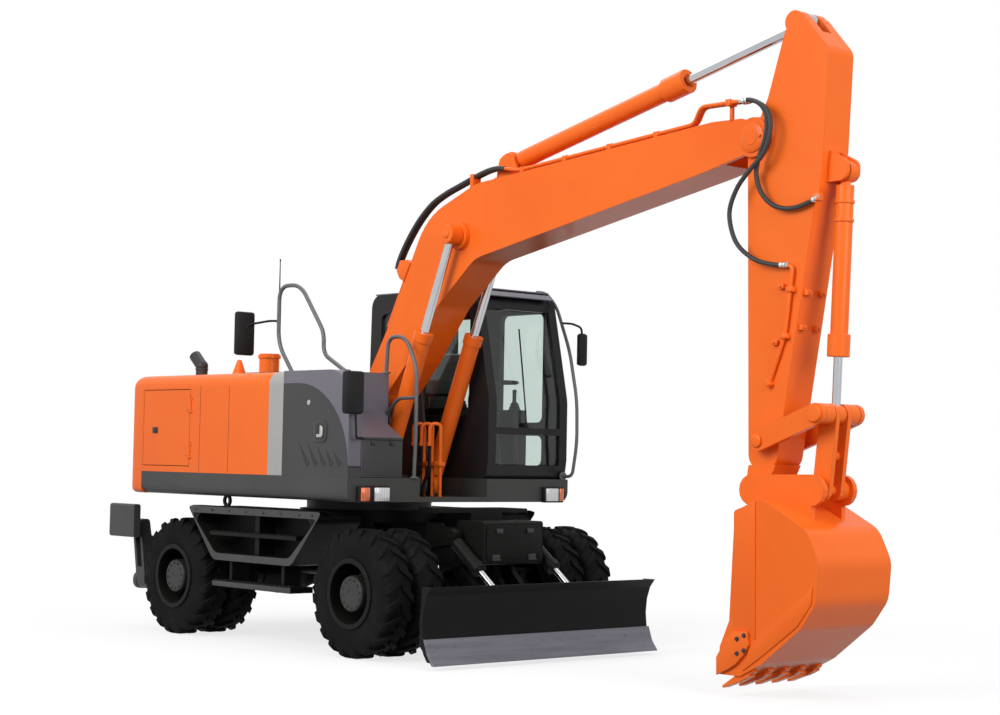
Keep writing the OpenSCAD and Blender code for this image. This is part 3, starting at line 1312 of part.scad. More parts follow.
module cab_controls() color(dark_grey) placed() {
    floor_z = deck_top + cab_wall;
    // Plinth under the seat
    box(seat_x, seat_x + plinth_l, cab_mid_y - seat_w / 3, cab_mid_y + seat_w / 3, floor_z, seat_z);
    // Consoles with their levers
    for (s = [-1, 1]) {
        translate([0, cab_mid_y + s * (seat_w + console_w + 2 * side_gap) / 2, 0]) {
            box(seat_x, seat_x + console_l, -console_w / 2, console_w / 2, floor_z, floor_z + console_h);
            translate([seat_x + console_l - console_w / 2, 0, floor_z + console_h - overrun]) {
                cylinder(h = lever_h + overrun, d = lever_d);
                translate([0, 0, lever_h]) sphere(d = lever_d * gland_share);
            }
        }
    }
    // Steering column and wheel
    translate([column_x - column_d, cab_mid_y, floor_z]) cylinder(h = wheel_z - floor_z, d = column_d);
    translate([column_x - column_d, cab_mid_y, wheel_z]) {
        rotate_extrude() translate([wheel_d / 2, 0]) circle(d = wheel_rim_d, $fn = 24);
        for (a = [0, 120, 240]) rotate([0, 0, a]) bar([0, 0, 0], [wheel_d / 2, 0, 0], wheel_rim_d * spoke_share);
    }
}

// Boom
// Outline in the boom's frame: [share of the length along, share across, radius share]
boom_outline_shares = [
    [0.068, 0.089, 0], [0.245, 0.236, 5], [0.39, 0.232, 5], [0.935, 0.062, 1], [1.0, 0.034, 0.5],
    [0.985, -0.02, 0.6], [0.885, -0.004, 2], [0.34, 0.106, 3], [0.215, 0.068, 3], [0.103, 0.007, 0],
];
boom_corner_r = 120;
fork_l = 330;
fork_w = arm_w + 2 * side_gap;
tip_r = 145;
cyl_boss_d = 230;
cyl_boss_out = 40;
ear_t = 30;
arm_eye_w = arm_cyl_d * eye_w_share;
arm_cyl_pin_d = 80;
boom_ear_drop_share = 0.055;
module boom() color(orange) placed() boom_frame() {
    difference() {
        union() {
            slab(rounded(scaled(boom_outline_shares, boom_length, boom_length, boom_corner_r)), boom_w);
            // Foot and tip
            slab(boom_foot_outline(), boom_w);
            pin_y(0, 0, -boom_w / 2, boom_w / 2, 2 * foot_r);
            pin_y(boom_length, 0, -boom_w / 2, boom_w / 2, 2 * tip_r);
            // Bosses of the two lifting cylinders
            pin_y(boom_cyl_share.x * boom_length, boom_cyl_share.y * boom_length,
                -boom_w / 2 - cyl_boss_out, boom_w / 2 + cyl_boss_out, cyl_boss_d);
        }
        // Fork for the arm
        translate([boom_length, 0, 0])
            slab(rounded([[-fork_l, -fork_l, 0], [fork_l, -fork_l, 0], [fork_l, fork_l, 0], [-fork_l, fork_l, 0]]),
                fork_w);
        pin_y(0, 0, -boom_w, boom_w, pin_d + 2 * fit);
    }
    pin_y(boom_length, 0, -boom_w / 2, boom_w / 2, pin_d);
    // Ears of the arm cylinder's base, with their pin
    base = arm_cyl_base_share * boom_length;
    for (s = [-1, 1])
        slab(rounded([
            [base.x - 2 * arm_cyl_d, base.y - boom_ear_drop_share * boom_length, 0],
            [base.x + arm_cyl_pin_d, base.y - boom_ear_drop_share * boom_length, 0],
            [base.x + arm_cyl_pin_d, base.y + arm_cyl_pin_d, arm_cyl_pin_d],
            [base.x - arm_cyl_pin_d, base.y + arm_cyl_pin_d, arm_cyl_pin_d],
        ]), ear_t, s * (arm_eye_w / 2 + side_gap + ear_t / 2));
    pin_y(base.x, base.y, -arm_eye_w / 2 - side_gap - ear_t, arm_eye_w / 2 + side_gap + ear_t, arm_cyl_pin_d);
}
// The foot widens from the round end to the boom's own sides
foot_root_share = 0.96;
function boom_foot_outline() = [
    foot_r * foot_root_share * [cos(115), sin(115)],
    boom_length * xy(boom_outline_shares[0]),
    boom_length * xy(boom_outline_shares[9]),
    foot_r * foot_root_share * [cos(295), sin(295)],
];
boom_cyl_l = norm(boom_cyl_pin - boom_cyl_base);
boom_barrel_l = 1400;
boom_rod_start = 800;
module boom_cylinder_frame() {
    for (s = [-1, 1])
        translate([boom_cyl_base.x, boom_y + s * boom_cyl_y, boom_cyl_base.y])
            rotate([0, -heading(boom_cyl_base, boom_cyl_pin), 0]) children();
}
module boom_barrels() color(orange) placed()
    boom_cylinder_frame() barrel(boom_cyl_d, boom_barrel_l, boom_cyl_pin_d);
module boom_rods() color(chrome) placed()
    boom_cylinder_frame() rod(boom_cyl_d, boom_rod_start, boom_cyl_l, boom_rod_eye_w);
boom_rod_eye_w = 2 * (boom_cyl_y - boom_w / 2 - cyl_boss_out - side_gap);
// Hoses along the back of the boom, held in clamps
hose_d = 42;
hose_gap = 60;
clamp_l = 60;
clamp_shares = [0.25, 0.6];
hose_route_shares = [[0.3, 0.252], [0.38, 0.25]];
module boom_hoses() color(black) placed() boom_frame() {
    a = boom_length * xy(boom_outline_shares[0]);
    b = boom_length * xy(boom_outline_shares[1]);
    lift = hose_d * turned([0, 1], heading(a, b));
    start = [for (k = clamp_shares) a + k * (b - a) + lift];
    route = concat([a + lift], start, [b + lift], [for (p = hose_route_shares) boom_length * p]);
    for (s = [-1, 1]) tube([for (p = route) [p.x, s * hose_gap, p.y]], hose_d);
    // Clamps on the boom's straight back
    for (p = start)
        translate([p.x - lift.x, 0, p.y - lift.y]) rotate([0, -heading(a, b), 0])
            box(-clamp_l / 2, clamp_l / 2, -hose_gap - hose_d, hose_gap + hose_d, 0, 2 * hose_d);
}

// Arm
arm_outline_shares = [
    [-0.335, 0.165, 0.4], [-0.294, 0.108, 0.6], [-0.11, 0.045, 1], [0.03, -0.03, 3], [0.94, -0.024, 1],
    [0.94, 0.075, 1], [0.69, 0.122, 2], [0.2, 0.215, 2], [0.165, 0.232, 1], [0.06, 0.243, 2], [-0.22, 0.262, 1],
];
arm_corner_r = 100;
arm_end_r = 95;
arm_boss_r = 150;
arm_root_share = 0.93;
arm_slot_share = 0.13;
ear_root_share = 0.2;
bucket_eye_w = bucket_cyl_d * eye_w_share;
bucket_cyl_pin_d = 70;
bucket_pin_d = 80;
link_t = 40;
ear_plate_t = 40;
bucket_ear_y = arm_w / 2 + side_gap + ear_plate_t / 2;
link_y = bucket_ear_y + ear_plate_t / 2 + side_gap + link_t / 2;
link_pin_d = 70;
module arm() color(orange) placed() arm_frame() {
    top = arm_cyl_rod_share * arm_length;
    base = bucket_cyl_base_share * arm_length;
    difference() {
        union() {
            slab(rounded(scaled(arm_outline_shares, arm_length, arm_length, arm_corner_r)), arm_w);
            pin_y(0, 0, -arm_w / 2, arm_w / 2, 2 * arm_boss_r);
            pin_y(arm_length, 0, -arm_w / 2, arm_w / 2, 2 * arm_end_r);
            pin_y(top.x, top.y, -arm_w / 2, arm_w / 2, arm_cyl_pin_d * 2);
            slab([[arm_root_share, arm_outline_shares[4].y] * arm_length, [arm_length, -arm_end_r],
                [arm_length, arm_end_r], [arm_root_share, arm_outline_shares[5].y] * arm_length], arm_w);
        }
        pin_y(0, 0, -arm_w, arm_w, pin_d + 2 * fit);
        pin_y(arm_length, 0, -arm_w, arm_w, bucket_pin_d + 2 * fit);
        // Open slot between the ears of the arm cylinder's rod
        translate([top.x, 0, top.y])
            slab(rounded([[-arm_length * arm_slot_share, -arm_length * arm_slot_share, 0],
                [arm_length * arm_slot_share, -arm_length * arm_slot_share, 0],
                [arm_length * arm_slot_share, arm_length * arm_slot_share / 3, arm_corner_r / 2],
                [-arm_length * arm_slot_share, arm_length * arm_slot_share, 0]]),
                arm_eye_w + 2 * side_gap);
    }
    // Ears of the bucket cylinder's base, with their pin
    for (s = [-1, 1])
        slab(rounded([
            [base.x - 3 * bucket_cyl_pin_d, ear_root_share * arm_length, 0],
            [base.x + bucket_cyl_pin_d, ear_root_share * arm_length, 0],
            [base.x + bucket_cyl_pin_d, base.y + bucket_cyl_pin_d, bucket_cyl_pin_d],
            [base.x - bucket_cyl_pin_d, base.y + bucket_cyl_pin_d, bucket_cyl_pin_d],
        ]), ear_t, s * (bucket_eye_w / 2 + side_gap + ear_t / 2));
    pin_y(base.x, base.y, -bucket_eye_w / 2 - side_gap - ear_t, bucket_eye_w / 2 + side_gap + ear_t, bucket_cyl_pin_d);
    // Pin of the idler links
    pivot = idler_pivot_share * arm_length;
    pin_y(pivot.x, pivot.y, -link_y - link_t / 2 - side_gap, link_y + link_t / 2 + side_gap, link_pin_d);
}
arm_cyl_l = norm(arm_cyl_end - arm_cyl_base);
arm_barrel_l = 1980;
arm_rod_start = 1170;
module arm_cylinder_frame() {
    translate([arm_cyl_base.x, boom_y, arm_cyl_base.y])
        rotate([0, -heading(arm_cyl_base, arm_cyl_end), 0]) children();
}
module arm_barrel() color(orange) placed() arm_cylinder_frame() barrel(arm_cyl_d, arm_barrel_l, arm_cyl_pin_d);
module arm_rod() color(chrome) placed()
    arm_cylinder_frame() rod(arm_cyl_d, arm_rod_start, arm_cyl_l, arm_eye_w);
bucket_cyl_l = norm(idler_end - bucket_cyl_base);
bucket_barrel_l = 1290;
bucket_rod_start = 320;
module bucket_cylinder_frame() {
    translate([bucket_cyl_base.x, boom_y, bucket_cyl_base.y])
        rotate([0, -heading(bucket_cyl_base, idler_end), 0]) children();
}
module bucket_barrel() color(orange) placed()
    bucket_cylinder_frame() barrel(bucket_cyl_d, bucket_barrel_l, bucket_cyl_pin_d);
module bucket_rod() color(chrome) placed()
    bucket_cylinder_frame() rod(bucket_cyl_d, bucket_rod_start, bucket_cyl_l, bucket_eye_w);

// Bucket linkage
link_r = 75;
link_in_y = bucket_eye_w / 2 + side_gap + link_t / 2;
function capsule(a, b, r) =
    let (h = heading(a, b))
    concat([for (k = [0 : 8]) a + r * [cos(h + 90 + 22.5 * k), sin(h + 90 + 22.5 * k)]],
        [for (k = [0 : 8]) b + r * [cos(h - 90 + 22.5 * k), sin(h - 90 + 22.5 * k)]]);
module idler_links() color(orange) placed()
    for (s = [-1, 1])
        difference() {
            slab(capsule(idler_pivot, idler_end, link_r), link_t, boom_y + s * link_y);
            pin_y(idler_pivot.x, idler_pivot.y, boom_y - house_half, boom_y + house_half, link_pin_d + 2 * fit);
        }
link_bridge_share = 0.55;
module bucket_link() color(orange) placed() difference() {
    union() {
        for (s = [-1, 1]) slab(capsule(link_pin, idler_end, link_r), link_t, boom_y + s * link_in_y);
        bridge = link_pin + (idler_end - link_pin) * (1 - link_bridge_share);
        pin_y(bridge.x, bridge.y, boom_y - link_in_y, boom_y + link_in_y, link_r);
    }
    pin_y(link_pin.x, link_pin.y, boom_y - house_half, boom_y + house_half, link_pin_d + 2 * fit);
}

// Bucket, from the front of its mouth round its back to its lip
bucket_outline_shares = [
    [0.05, -0.11, 0.3], [0.36, -0.045, 1], [0.86, -0.2, 2], [1, -0.37, 2], [0.97, -0.58, 2], [0.8, -0.72, 2],
    [0.38, -0.92, 2], [0.13, -1, 0],
];
bucket_r = 100;
ear_r = 110;
tooth_l = 190;
tooth_w = 70;
tooth_t = 60;
cutter_reach = 190;
bucket_centre_share = [0.45, -0.55];
bucket_inner_share = 1 - bucket_t / (bucket_depth / 2);
ear_root_shares = [[0, -0.16], [0.1, -0.2], [0.7, -0.3], [0.86, -0.22]];
// The inside is the outside drawn in towards the middle of the bucket
function bucket_outline(size) = rounded([
    for (s = bucket_outline_shares)
        let (c = [bucket_centre_share.x * bucket_depth, bucket_centre_share.y * bucket_h])
        let (p = c + size * ([s.x * bucket_depth, s.y * bucket_h] - c))
        [p.x, p.y, s[2] * bucket_r]
]);
module bucket() color(orange) placed() bucket_frame() {
    link = link_pin_share * bucket_depth;
    mouth = [bucket_outline_shares[0].x * bucket_depth, bucket_outline_shares[0].y * bucket_h];
    heel = [bucket_outline_shares[6].x * bucket_depth, bucket_outline_shares[6].y * bucket_h];
    lip = [bucket_outline_shares[7].x * bucket_depth, -bucket_h];
    slope = heading(heel, lip);
    difference() {
        union() {
            slab(bucket_outline(1), bucket_w);
            // Ears on the back
            for (s = [-1, 1]) {
                slab(capsule([0, 0], link, ear_r), ear_plate_t, s * bucket_ear_y);
                slab([for (r = ear_root_shares) [r.x * bucket_depth, r.y * bucket_h]], ear_plate_t, s * bucket_ear_y);
                slab([[0, 0], [ear_root_shares[1].x * bucket_depth, ear_root_shares[1].y * bucket_h],
                    [ear_root_shares[2].x * bucket_depth, ear_root_shares[2].y * bucket_h], link], ear_plate_t,
                    s * bucket_ear_y);
            }
        }
        slab(concat(bucket_outline(bucket_inner_share), [[-bucket_depth, -bucket_h], [-bucket_depth, 0]]),
            bucket_w - 2 * bucket_t);
    }
    // Side plates with their cutters reach past the mouth
    for (s = [-1, 1])
        slab([mouth, [0, lip.y + 2 * cutter_reach], [lip.x - cutter_reach, lip.y + cutter_reach],
            [lip.x - cutter_reach, lip.y], [lip.x, lip.y], heel], bucket_t, s * (bucket_w - bucket_t) / 2);
    pin_y(0, 0, -bucket_ear_y, bucket_ear_y, bucket_pin_d);
    pin_y(link.x, link.y, -bucket_ear_y, bucket_ear_y, link_pin_d);
    // Teeth in line with the floor
    for (i = [0 : tooth_count - 1])
        translate([lip.x, (i / (tooth_count - 1) - 0.5) * (bucket_w - tooth_w - bucket_t), lip.y])
            rotate([0, -slope, 0])
                slab([[-tooth_w, -tooth_t / 2], [0, -tooth_t / 2], [tooth_l, -tooth_t / 8], [tooth_l, tooth_t / 8],
                    [0, tooth_t / 2], [-tooth_w, tooth_t / 2]], tooth_w);
}

chassis_frame();
slew_ring();
axles();
step_boxes();
front_locker();
stabiliser_beam();
knuckle_left();
knuckle_right();
track_rod();
rims_front_left();
rims_front_right();
rims_rear_left();
rims_rear_right();
tyres_front_left();
tyres_front_right();
tyres_rear_left();
tyres_rear_right();
dozer_blade();
blade_edge();
blade_barrels();
blade_rods();
stabiliser_leg_left();
stabiliser_leg_right();
stabiliser_barrel_left();
stabiliser_barrel_right();
stabiliser_rod_left();
stabiliser_rod_right();
upper_frame();
counterweight();
engine_block();
house_panels();
engine_hood();
service_door_right();
service_door_left();
cover_strip();
tank_cover();
tank_shroud();
tool_box();
exhaust_stack();
handrails();
mirrors();
lamps();
cab_shell();
cab_glass();
cab_door();
door_glass();
operator_seat();
cab_controls();
boom();
boom_barrels();
boom_rods();
boom_hoses();
arm();
arm_barrel();
arm_rod();
bucket_barrel();
bucket_rod();
idler_links();
bucket_link();
bucket();
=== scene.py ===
"""Looks of a wheeled excavator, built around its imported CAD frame.

Places are in millimetres in the machine's own layout: x forward from the swing axis, y to the
left, z up from the ground. at() turns them to metres in the frame of the CAD part.
"""

import json
import math

import bmesh
import bpy
from mathutils import Matrix, Vector


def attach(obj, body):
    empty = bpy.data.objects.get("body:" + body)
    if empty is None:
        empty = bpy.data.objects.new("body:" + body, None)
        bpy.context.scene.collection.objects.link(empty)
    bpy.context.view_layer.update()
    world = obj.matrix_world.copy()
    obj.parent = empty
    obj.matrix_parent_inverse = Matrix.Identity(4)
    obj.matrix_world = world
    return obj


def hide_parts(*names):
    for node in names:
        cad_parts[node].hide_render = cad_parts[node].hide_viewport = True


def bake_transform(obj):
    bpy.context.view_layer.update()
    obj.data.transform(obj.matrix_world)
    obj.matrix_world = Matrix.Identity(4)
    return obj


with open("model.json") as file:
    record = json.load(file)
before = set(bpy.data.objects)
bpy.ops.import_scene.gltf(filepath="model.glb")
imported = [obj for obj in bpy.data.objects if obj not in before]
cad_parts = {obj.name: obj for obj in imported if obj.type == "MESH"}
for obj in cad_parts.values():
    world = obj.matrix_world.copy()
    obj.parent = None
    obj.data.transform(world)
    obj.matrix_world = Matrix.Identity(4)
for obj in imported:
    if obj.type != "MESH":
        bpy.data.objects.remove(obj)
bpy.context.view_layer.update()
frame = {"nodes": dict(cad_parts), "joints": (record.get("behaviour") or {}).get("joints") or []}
NODES = frame["nodes"]
JOINTS = {j["name"]: j for j in frame["joints"]}
SWING_X = JOINTS["swing"]["pos_m"][0]
MM = 0.001
X, Y, Z = Vector((1, 0, 0)), Vector((0, 1, 0)), Vector((0, 0, 1))


def at(x, y, z):
    """A place in machine millimetres as a vector in the part's frame."""
    return Vector((x * MM + SWING_X, y * MM, z * MM))


# Camera at the photograph's viewing angle
PHOTO_W = 1000
FOCAL_PX = 1971.5
CENTRE_PX = (7.15, -3.43)
CAMERA_AT = at(14040, -11036, 1641)
YAW, PITCH, ROLL = 2.4072, 0.0528, 0.0187
SENSOR_W = 36

ahead = Vector((math.cos(PITCH) * math.cos(YAW), math.cos(PITCH) * math.sin(YAW), math.sin(PITCH)))
level = ahead.cross(Z).normalized()
upright = level.cross(ahead)
cam_x = level * math.cos(ROLL) + upright * math.sin(ROLL)
cam_y = upright * math.cos(ROLL) - level * math.sin(ROLL)
camera = bpy.data.objects.new("camera", bpy.data.cameras.new("camera"))
camera.data.sensor_width = SENSOR_W
camera.data.lens = FOCAL_PX / PHOTO_W * SENSOR_W
camera.data.shift_x = -CENTRE_PX[0] / PHOTO_W
camera.data.shift_y = CENTRE_PX[1] / PHOTO_W
camera.data.clip_end = 400
camera.matrix_world = Matrix((cam_x, cam_y, -ahead)).transposed().to_4x4()
camera.matrix_world.translation = CAMERA_AT
bpy.context.scene.collection.objects.link(camera)
bpy.context.scene.camera = camera
bpy.context.scene.view_settings.view_transform = "Standard"


# Materials
def colour(code):
    """An sRGB hex colour as linear red, green, blue and alpha."""
    channels = [int(code[i:i + 2], 16) / 255 for i in (1, 3, 5)]
    return [c / 12.92 if c <= 0.04045 else ((c + 0.055) / 1.055) ** 2.4 for c in channels] + [1.0]


def per_metre(size_mm):
    """Scale of a pattern whose features measure size_mm."""
    return 1000 / size_mm


# Length of one band of a wave texture at scale 1, in metres
WAVE = math.pi / 10


def add(tree, kind, settings=None, inputs=None):
    """Adds a node with its settings; an input is a value, or a (node, output) pair to link."""
    made = tree.nodes.new("ShaderNode" + kind)
    for key, value in (settings or {}).items():
        setattr(made, key, value)
    for key, value in (inputs or {}).items():
        if isinstance(value, tuple) and isinstance(value[0], bpy.types.Node):
            tree.links.new(value[0].outputs[value[1]], made.inputs[key])
        else:
            made.inputs[key].default_value = value
    return made


def calc(tree, operation, a, b):
    """One step of arithmetic on two inputs."""
    return add(tree, "Math", {"operation": operation}, {0: a, 1: b})


def remap(tree, source, start, end, low=0.0, high=1.0):
    """An input between start and end, spread from low to high and held beyond them."""
    return add(tree, "MapRange", None, {
        "Value": source, "From Min": start, "From Max": end, "To Min": low, "To Max": high})


def noise(tree, size_mm, detail=2.0):
    """Noise in the piece's own space, with features that measure size_mm."""
    place = add(tree, "TexCoord")
    return add(tree, "TexNoise", None, {"Vector": (place, "Object"), "Scale": per_metre(size_mm), "Detail": detail})


def ramp(tree, source, *stops):
    """Colours by what a node gives, between (position, linear colour) stops in rising order."""
    made = add(tree, "ValToRGB", None, {"Fac": (source, 0)})
    band = made.color_ramp.elements
    for _ in stops[2:]:
        band.new(0.5)
    for element, (place, tone) in zip(band, stops):
        element.position, element.color = place, tone
    return made


def tinted(tree, share, base, code):
    """An input turned to a hex colour by a share that a node gives."""
    return add(tree, "Mix", {"data_type": "RGBA"}, {0: (share, 0), 6: base, 7: colour(code)}), 2


def relief_of(tree, height, strength, depth_mm, **under):
    """A normal raised by what a node gives."""
    return add(tree, "Bump", None, {"Strength": strength, "Distance": depth_mm * MM, "Height": (height, 0), **under})


def ended(made, tree, kind, inputs):
    """A material whose tree ends in a shader of that kind."""
    shader = add(tree, kind, None, inputs)
    add(tree, "OutputMaterial", None, {"Surface": (shader, 0)})
    return made


def new_material(name):
    """A node material and its empty tree."""
    made = bpy.data.materials.new(name)
    made.use_nodes = True
    made.node_tree.nodes.clear()
    return made, made.node_tree


def coated(name, low, high, rough, patch_mm, grain_mm, grain_depth_mm, edge_mm=5, coat=0.0,
           metallic=0.0, worn=None, edge_wear_and_shade_share=0.0, dust=None, spec=0.5, patch_stretch=(1, 1, 1)):
    """A painted, moulded or rubbed surface: patches between two close tones, a fine relief,
    softened edges, and where asked a tone on edges and creases and dust on what faces up. That
    tone is wear where it is lighter than the paint, and painted shade where it is darker, as on the orange."""
    made, tree = new_material(name)
    spread = add(tree, "Mapping", None, {"Vector": (add(tree, "TexCoord"), "Object"), "Scale": patch_stretch})
    patches = add(tree, "TexNoise", None, {
        "Vector": (spread, 0), "Scale": per_metre(patch_mm), "Detail": 4.0, "Roughness": 0.6})
    base = (ramp(tree, patches, (0.3, colour(low)), (0.7, colour(high))), 0)
    soft = add(tree, "Bevel", {"samples": 4}, {"Radius": edge_mm * MM})
    # A tone on rounded edges and creases: wear where it is lighter, painted shade where it is darker, as on the orange
    if worn:
        flat = add(tree, "NewGeometry")
        bend = add(tree, "VectorMath", {"operation": "DOT_PRODUCT"}, {0: (soft, 0), 1: (flat, "Normal")})
        edge_wear_and_shade_mask = remap(tree, (bend, "Value"), 0.97, 0.8, high=edge_wear_and_shade_share)
        spots = ramp(tree, patches, (0.45, colour("#000000")), (0.6, colour("#FFFFFF")))
        base = tinted(tree, calc(tree, "MULTIPLY", (edge_wear_and_shade_mask, 0), (spots, 0)), base, worn)
    if dust:
        facing = add(tree, "SeparateXYZ", None, {0: (add(tree, "NewGeometry"), "Normal")})
        lying = remap(tree, (facing, "Z"), 0.3, 1.0, high=0.35)
        base = tinted(tree, calc(tree, "MULTIPLY", (lying, 0), (patches, 0)), base, dust)
    relief = relief_of(tree, noise(tree, grain_mm), 1.0, grain_depth_mm, Normal=(soft, 0))
    sheen = remap(tree, (patches, 0), 0.3, 0.7, rough - 0.04, rough + 0.05)
    return ended(made, tree, "BsdfPrincipled", {
        "Base Color": base, "Roughness": (sheen, 0), "Metallic": metallic, "Specular IOR Level": spec,
        "Coat Weight": coat, "Coat Roughness": 0.08, "Normal": (relief, 0)})


# Two-pack polyurethane enamel sprayed on steel: even and glossy, with faint orange peel that is
# drawn at 30 mm so that it shows; its darker tone on edges and creases is painted shade
ORANGE = coated("polyurethane_enamel_orange", "#EC661A", "#F06E20", 0.36, 900, 30, 0.05, edge_mm=6,
                coat=0.1, worn="#B9471A", edge_wear_and_shade_share=0.5, spec=0.16)
# The same enamel in the chassis's black: satin, a little dusty on top, rubbed grey on its edges
BLACK = coated("chassis_enamel_black", "#0E0E0D", "#151514", 0.44, 400, 22, 0.08, edge_mm=5, worn="#3E3D3B",
               edge_wear_and_shade_share=0.6, dust="#33302C", spec=0.09)
# The cab's frame in charcoal enamel, cleaner and glossier than the chassis
CAB_BLACK = coated("cab_enamel_charcoal", "#1C1C1E", "#222224", 0.36, 500, 24, 0.05, edge_mm=8,
                   coat=0.03, spec=0.16)
# Sheet-steel covers in dark grey enamel, satin
DARK_GREY = coated("cover_enamel_dark_grey", "#3E3E3E", "#444444", 0.42, 700, 26, 0.05, worn="#67655F",
                   edge_wear_and_shade_share=0.4, spec=0.17)
# The deck's side rails and floor: almost black, duller than the covers
SKIRT = coated("deck_enamel_charcoal", "#3A3B3A", "#434443", 0.45, 600, 24, 0.06, worn="#63615C", edge_wear_and_shade_share=0.5,
               dust="#57534B", spec=0.22)
# Pressed cover panels in a cool mid grey
MID_GREY = coated("cover_enamel_mid_grey", "#65626C", "#6D6A74", 0.44, 600, 26, 0.05, worn="#9A9892",
                  edge_wear_and_shade_share=0.4, spec=0.3)
# The pale strip between the orange and the grey
PALE_GREY = coated("cover_enamel_pale_grey", "#9B9997", "#A3A19F", 0.42, 600, 26, 0.04)
# Bent steel tube in grey enamel
RAIL = coated("rail_enamel_grey", "#4F5052", "#5B5C5E", 0.36, 300, 18, 0.05, edge_mm=2, worn="#8A8883",
              edge_wear_and_shade_share=0.4)
# Rolled wear plate with its mill skin scoured: long fine streaks, half metal
WEAR_PLATE = coated("wear_plate_scoured", "#5F5E66", "#777680", 0.42, 60, 6, 0.12, metallic=0.55, edge_mm=4,
                    worn="#B3B2B5", edge_wear_and_shade_share=0.8, patch_stretch=(1, 0.06, 1))
# Mill-black castings and pins, oiled
CASTING = coated("casting_oiled_black", "#1C1B1A", "#282726", 0.5, 120, 9, 0.3, edge_mm=3, metallic=0.2,
                 worn="#6E6C68", edge_wear_and_shade_share=0.6)
# Hard chrome, ground round and polished: bright, with the grinding just visible along the rod
CHROME = coated("hard_chrome_ground", "#B4B6B9", "#C3C5C8", 0.14, 500, 3, 0.01, edge_mm=2, metallic=1.0)
# Zinc-plated bolts and pipes: dull bright metal
ZINC = coated("zinc_plated_steel", "#A9A8A2", "#C2C1BB", 0.34, 40, 4, 0.03, edge_mm=1, metallic=0.9)
# Hydraulic hose with a wrapped nitrile cover: dull black with a fine cloth print
HOSE = coated("nitrile_hose_cover", "#171718", "#202022", 0.6, 80, 5, 0.25, edge_mm=1)
# Moulded ABS with a spark-eroded grain: mirror shells, consoles and grips
ABS = coated("moulded_abs_black", "#161617", "#1C1C1D", 0.5, 200, 3.5, 0.12, edge_mm=3, spec=0.15)
# EPDM seal: soft and dull
SEAL = coated("epdm_seal", "#101011", "#171718", 0.65, 90, 4, 0.1, edge_mm=2)


def pane(name, tint, rough, see_through):
    """Toughened glass: clear with a faint green tint, mirror-like at a glancing angle."""
    made, tree = new_material(name)
    clear = add(tree, "BsdfTransparent", None, {"Color": colour(tint)})
    edge_on = add(tree, "LayerWeight", None, {"Blend": 0.5})
    glance = calc(tree, "POWER", (edge_on, "Facing"), 5.0)
    wave = relief_of(tree, noise(tree, 700), 0.2, 0.5)
    shine = add(tree, "BsdfGlossy", None, {"Color": colour("#FFFFFF"), "Roughness": rough, "Normal": (wave, 0)})
    share = remap(tree, (glance, 0), 0.0, 1.0, 1 - see_through, 0.7)
    return ended(made, tree, "MixShader", {0: (share, 0), 1: (clear, 0), 2: (shine, 0)})


GLASS = pane("toughened_window_glass", "#EFF4F2", 0.02, 0.97)


def lens(name, tint, ribs_mm):
    """Moulded polycarbonate lens over a bright reflector, with vertical ribs drawn wide enough to show; the darker
    bands along the ribs are painted shade.
    """
    made, tree = new_material(name)
    ribs = add(tree, "TexWave", {"bands_direction": "Y"}, {
        "Vector": (add(tree, "TexCoord"), "Object"), "Scale": per_metre(ribs_mm) * WAVE, "Distortion": 0.0})
    # A darker copy of the tint, laid on the ribs' bands: painted shade
    shade = [c * 0.7 for c in colour(tint)[:3]] + [1]
    return ended(made, tree, "BsdfPrincipled", {
        "Base Color": (ramp(tree, ribs, (0.0, colour(tint)), (1.0, shade)), 0), "Roughness": 0.12, "Metallic": 0.25,
        "Coat Weight": 1.0, "Coat Roughness": 0.03, "Normal": (relief_of(tree, ribs, 0.6, 2), 0)})


CLEAR_LENS = lens("polycarbonate_lens_clear", "#DDE0E2", 17.8)
AMBER_LENS = lens("polycarbonate_lens_amber", "#E0661A", 13.85)


def silvered(name):
    """Silvered mirror glass: a clean reflection with a trace of waviness."""
    made, tree = new_material(name)
    wave = noise(tree, 160)
    tone = ramp(tree, wave, (0.3, colour("#C4CBD0")), (0.7, colour("#D0D6DA")))
    return ended(made, tree, "BsdfPrincipled", {
        "Base Color": (tone, 0), "Metallic": 1.0, "Roughness": 0.05, "Normal": (relief_of(tree, wave, 0.15, 0.3), 0)})


MIRROR = silvered("silvered_mirror_glass")


def tyre_rubber(name):
    """Carbon-black tyre rubber: dull, greyer where dust sits, with moulded rings on the sidewall.
    The rings come from the distance to the hub, read off the tyre's own box."""
    made, tree = new_material(name)
    centred = add(tree, "VectorMath", {"operation": "SUBTRACT"}, {
        0: (add(tree, "TexCoord"), "Generated"), 1: (0.5, 0.5, 0.5)})
    flat = add(tree, "VectorMath", {"operation": "MULTIPLY"}, {0: (centred, 0), 1: (1.05, 0.0, 1.05)})
    radius = add(tree, "VectorMath", {"operation": "LENGTH"}, {0: (flat, 0)})
    rings = calc(tree, "MULTIPLY", (radius, "Value"), 2 * math.pi * per_metre(22))
    wave = add(tree, "Math", {"operation": "SINE"}, {0: (rings, 0)})
    sidewall = remap(tree, (radius, "Value"), 0.455, 0.44)
    low = relief_of(tree, calc(tree, "MULTIPLY", (wave, 0), (sidewall, 0)), 0.8, 1.2)
    fine = relief_of(tree, noise(tree, 9, 3.0), 0.6, 0.6, Normal=(low, 0))
    tone = ramp(tree, noise(tree, 260, 4.0), (0.3, colour("#0F0F10")), (0.55, colour("#151516")),
                (0.75, colour("#1E1D1F")))
    return ended(made, tree, "BsdfPrincipled", {
        "Base Color": (tone, 0), "Roughness": 0.78, "Specular IOR Level": 0.07, "Normal": (fine, 0)})


RUBBER = tyre_rubber("carbon_black_tyre_rubber")


